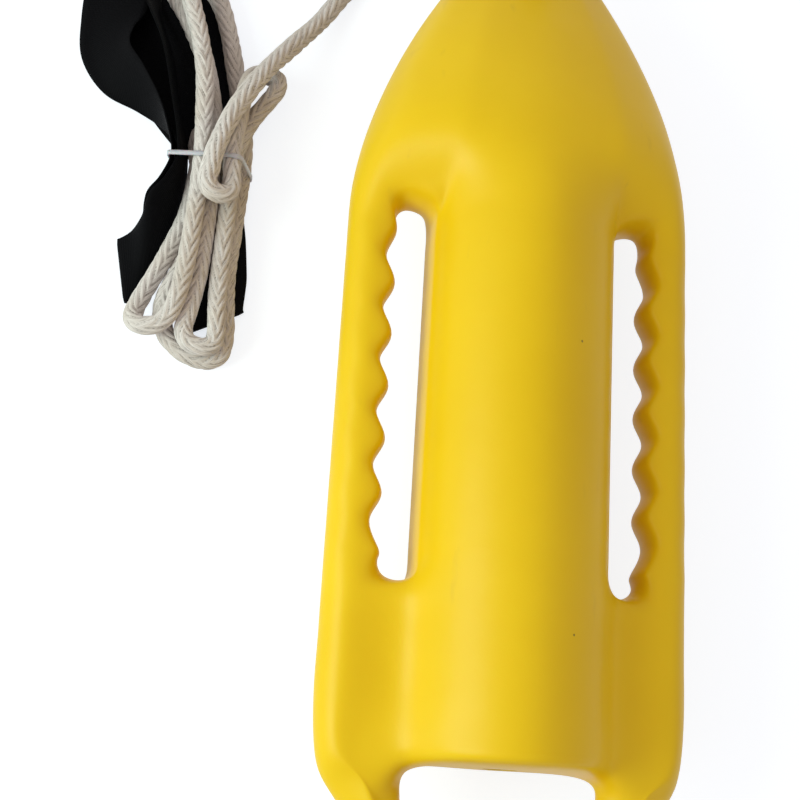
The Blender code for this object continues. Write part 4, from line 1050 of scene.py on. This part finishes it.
def second_layer(places, gaps):
    """The places again in reverse, moved off the first layer's lower side."""
    centres = np.array([p[:3] for p in places], float)
    layer = []
    for place, t, gap in zip(places, np.gradient(centres, axis=0), gaps):
        normal = np.cross(t, place[3:6])
        normal /= np.linalg.norm(normal)
        x, y, z = np.array(place[:3]) + gap * normal
        layer.append((x, y, max(z, ON_FLOOR), *place[3:7], place[7] - LAYER_DROP))
    return layer[::-1]


def strap_places():
    """The strap's places in metres, from its end above the strap knot to its end below."""
    fold_1 = folded_over(-281.5, 52.0, 4.0, (-0.977, -0.21), (-0.21, 0.977))
    fold_2 = folded_over(-309, 322, 6.3, (0, 1), (1, 0))
    fold_3 = folded_over(-213, 20.0, 3.8, (0.47, -0.88), (0.88, 0.47))
    back = second_layer(STRAP_LOWER_1, (4.6, 4.0, 3.4, 3.0, 2.8, 2.7))
    places = [*STRAP_END_1, *STRAP_LOWER_1, *fold_1, *back, *STRAP_UPPER, *fold_2, *STRAP_BACK]
    places += [*fold_3, *STRAP_END_2]
    return np.array(places) * ([0.001] * 3 + [1] * 3 + [0.001] * 2)


def strap_band(name, places, mat, columns=12):
    """The strap as a thin closed band with rounded selvedges."""
    centres = places[:, :3]
    across = unit(places[:, 3:6])
    normals = unit(np.cross(np.gradient(centres, axis=0), across))
    shares = np.linspace(-0.5, 0.5, columns)
    thin = np.sqrt(np.clip(1 - (np.abs(shares) * 2) ** 14, 0.12, 1))
    points, cloth = [], []
    along = distances(centres)
    for centre, a, n, (width, lowest), s in zip(centres, across, normals, places[:, 6:], along):
        middle = centre + np.outer(shares * width, a)
        middle[:, 2] = np.maximum(middle[:, 2], lowest)
        half = STRAP_THICKNESS / 2 * thin[:, None] * n
        points += [*(middle + half), *(middle - half)[::-1]]
        cloth += [(x * STRAP_WIDTH, s) for x in (*shares, *shares[::-1])]
    ring = 2 * columns
    faces = tube_faces(len(places), ring)
    for first in (0, (len(places) - 1) * ring):
        for k in range(columns - 1):
            faces.append([first + k, first + k + 1, first + ring - 2 - k, first + ring - 1 - k])
    obj = mesh_object(name, points, faces, mat)
    layer = obj.data.uv_layers.new(name="cloth")
    for loop in obj.data.loops:
        layer.data[loop.index].uv = cloth[loop.vertex_index]
    return obj


def cable_tie(name, hank, strap, mat, steps=32):
    """A thin band drawn round everything in the bundle except the strand on top."""
    half, clear = TIE_WIDTH / 2, 0.0002
    along = distances(hank)
    rope = points_at(np.arange(0, along[-1], 0.001), along, hank)
    rope = rope[np.abs(rope[:, 1] - WAIST_Y) < half + 0.001]
    top = WAIST["top"][1] - ROPE_DIAMETER / 2
    rounds = [(x, z, ROPE_DIAMETER / 2 + SEAT) for x, _, z in rope if z < top]
    for place in through(strap, 0.001):
        if abs(place[1] - WAIST_Y) < half + 0.001:
            edge = place[3:6] / np.linalg.norm(place[3:6]) * place[6] / 2
            for side in (-1, 1):
                x, _, z = place[:3] + side * edge
                rounds.append((x, max(z, place[7]), STRAP_THICKNESS / 2 + SEAT))
    rounds = np.array(rounds)
    points = []
    for k in range(steps):
        angle = 2 * math.pi * k / steps
        out = np.array([math.cos(angle), math.sin(angle)])
        far = rounds[np.argmax(rounds[:, :2] @ out + rounds[:, 2])]
        inner = far[:2] + (far[2] + clear) * out
        outer = far[:2] + (far[2] + clear + TIE_THICKNESS) * out
        for (x, z), y in ((inner, -half), (outer, -half), (outer, half), (inner, half)):
            points.append((x, WAIST_Y + y, z))
    return mesh_object(name, points, tube_faces(steps, 4, closed=True), mat)


# Materials

SPECKS = ((0.0284, -0.01, 0.1427), (0.0275, -0.2049, 0.1432))  # dark dots on the tube
SPECK_RADIUS = 0.0011
RIB_PITCH, WARP_PITCH = 0.0016, 0.0011  # along and across the webbing


def material(name):
    """A new material and its shader."""
    mat = bpy.data.materials.new(name)
    mat.use_nodes = True
    return mat, mat.node_tree.nodes["Principled BSDF"]


def float_yellow():
    """Rotationally moulded polyethylene: slightly cloudy, faint orange peel, scuffs and a few specks."""
    mat, shader = material("float_yellow")
    place = object_place(mat)
    cloud = noise(place, 9.0, 4.0)
    color = ramp(cloud, [(0.3, (0.78, 0.508, 0.003)), (0.7, (0.83, 0.552, 0.006))])
    scuffs = noise(place, 60.0, 8.0, (1.0, 0.25, 1.0))
    color = stained(color, scuffs, 0.66, 0.74, 0.25, (0.6, 0.39, 0.02))
    specks = 0.0
    for speck in SPECKS:
        away = add_node(mat.node_tree, "VectorMath", {0: place, 1: speck}, operation="DISTANCE")
        inside = math_node("LESS_THAN", away.outputs["Value"], SPECK_RADIUS)
        specks = math_node("MAXIMUM", inside, specks)
    color = mix_color(math_node("MULTIPLY", specks, 0.7), color, (0.1, 0.06, 0.02))
    rough = math_node("MULTIPLY_ADD", noise(place, 30.0, 4.0), 0.12, 0.36)
    feed(shader, {"Base Color": color, "Roughness": rough, "Specular IOR Level": 0.24})
    depth = {"Subsurface Weight": 0.1, "Subsurface Radius": (1.0, 0.5, 0.02), "Subsurface Scale": 0.006}
    feed(shader, depth)
    peel, wave = noise(place, 420.0, 2.0), noise(place, 38.0, 2.0)
    bump(shader, math_node("MULTIPLY_ADD", peel, 0.12, wave), 0.0005, 0.5)
    return mat


def clouded(name, scale, dark, pale, roughness):
    """A material that changes softly between two colours."""
    mat, shader = material(name)
    shade = ramp(noise(object_place(mat), scale), [(0.3, dark), (0.7, pale)])
    feed(shader, {"Base Color": shade, "Roughness": roughness})
    return mat, shader


def plain_plastic(name, color, roughness, grain):
    mat, shader = clouded(name, 120.0, tuple(0.8 * c for c in color), color, roughness)
    bump(shader, noise(object_place(mat), grain), 0.0001, 0.4)
    return mat


def rope_fibre():
    """Off-white yarn: fine lines along each strand, painted shade in the seams between strands, grey and
    brown flecks.
    """
    mat, shader = material("rope_yarn")
    height = add_node(mat.node_tree, "Attribute", attribute_name="braid_height").outputs["Fac"]
    yarn = add_node(mat.node_tree, "UVMap", uv_map="yarn").outputs["UV"]
    fibres = noise(yarn, 1.0, 3.0, (17.0, 1.6, 1.0))
    flecks = noise(yarn, 1.0, 2.0, (5.0, 0.7, 1.0))
    stains = noise(object_place(mat), 20.0, 3.0)
    light = (0.85, 0.8, 0.8)
    base = ramp(fibres, [(0.28, (0.45, 0.41, 0.4)), (0.5, (0.67, 0.62, 0.61)), (0.72, light)])
    base = stained(base, stains, 0.46, 0.7, 0.7, (0.52, 0.44, 0.37))
    base = stained(base, flecks, 0.6, 0.68, 0.7, (0.24, 0.21, 0.19))
    # Painted shade: the yarn is darker where the plait's height is low, in the seams between strands
    seam_shade = ramp(height, [(0.16, (0.28, 0.25, 0.23)), (0.58, WHITE)], "EASE")
    base = mix_color(1.0, base, seam_shade, "MULTIPLY")
    feed(shader, {"Base Color": base, "Roughness": 0.85, "Specular IOR Level": 0.3})
    feed(shader, {"Sheen Weight": 0.2, "Sheen Roughness": 0.5})
    bump(shader, fibres, 0.0006, 0.7)
    return mat


def strap_webbing():
    """Black woven webbing with close cross ribs."""
    mat, shader = material("strap_weave")
    cloth = add_node(mat.node_tree, "UVMap", uv_map="cloth").outputs["UV"]
    places = add_node(cloth.id_data, "SeparateXYZ", {"Vector": cloth}).outputs
    waves = []
    for axis, pitch in (("Y", RIB_PITCH), ("X", WARP_PITCH)):
        wave = math_node("SINE", math_node("MULTIPLY", places[axis], 2 * math.pi / pitch))
        waves.append(math_node("MULTIPLY_ADD", wave, 0.5, 0.5))
    weave = math_node("MULTIPLY", *waves)
    color = ramp(weave, [(0.0, (0.0008, 0.0008, 0.0012)), (1.0, (0.0042, 0.0042, 0.0056))])
    feed(shader, {"Base Color": color, "Roughness": 0.6, "Specular IOR Level": 0.05})
    bump(shader, weave, 0.00035, 0.8)
    return mat


def tie_nylon():
    """Milky nylon that lets some light through."""
    mat, shader = clouded("tie_milky", 90.0, (0.58, 0.59, 0.66), (0.72, 0.73, 0.8), 0.32)
    feed(shader, {"Transmission Weight": 0.25, "Subsurface Weight": 0.3, "Subsurface Scale": 0.002})
    return mat


# Pieces

body = make_float(float_yellow())
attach(body, "can")
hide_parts("can_shell")

black = plain_plastic("plug_nylon", (0.03, 0.03, 0.032), 0.42, 900.0)
rubber = plain_plastic("seal_ring", (0.02, 0.02, 0.02), 0.75, 500.0)
for node, mat in (("vent_plug", black), ("plug_seal", rubber)):
    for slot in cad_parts[node].material_slots:
        slot.material = mat

hank = hank_line()
rope, route = braided_tube("tow_rope", rope_line(hank), rope_fibre())
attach(rope, "can")
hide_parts("tow_rope_lead", "nose_knot", "rope_hank", "strap_knot")

strap = strap_band("webbing_strap", through(strap_places(), 0.003), strap_webbing())
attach(strap, "can")
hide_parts("shoulder_strap")

tie = cable_tie("bundle_tie", hank, strap_places(), tie_nylon())
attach(tie, "can")
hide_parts("cable_tie")
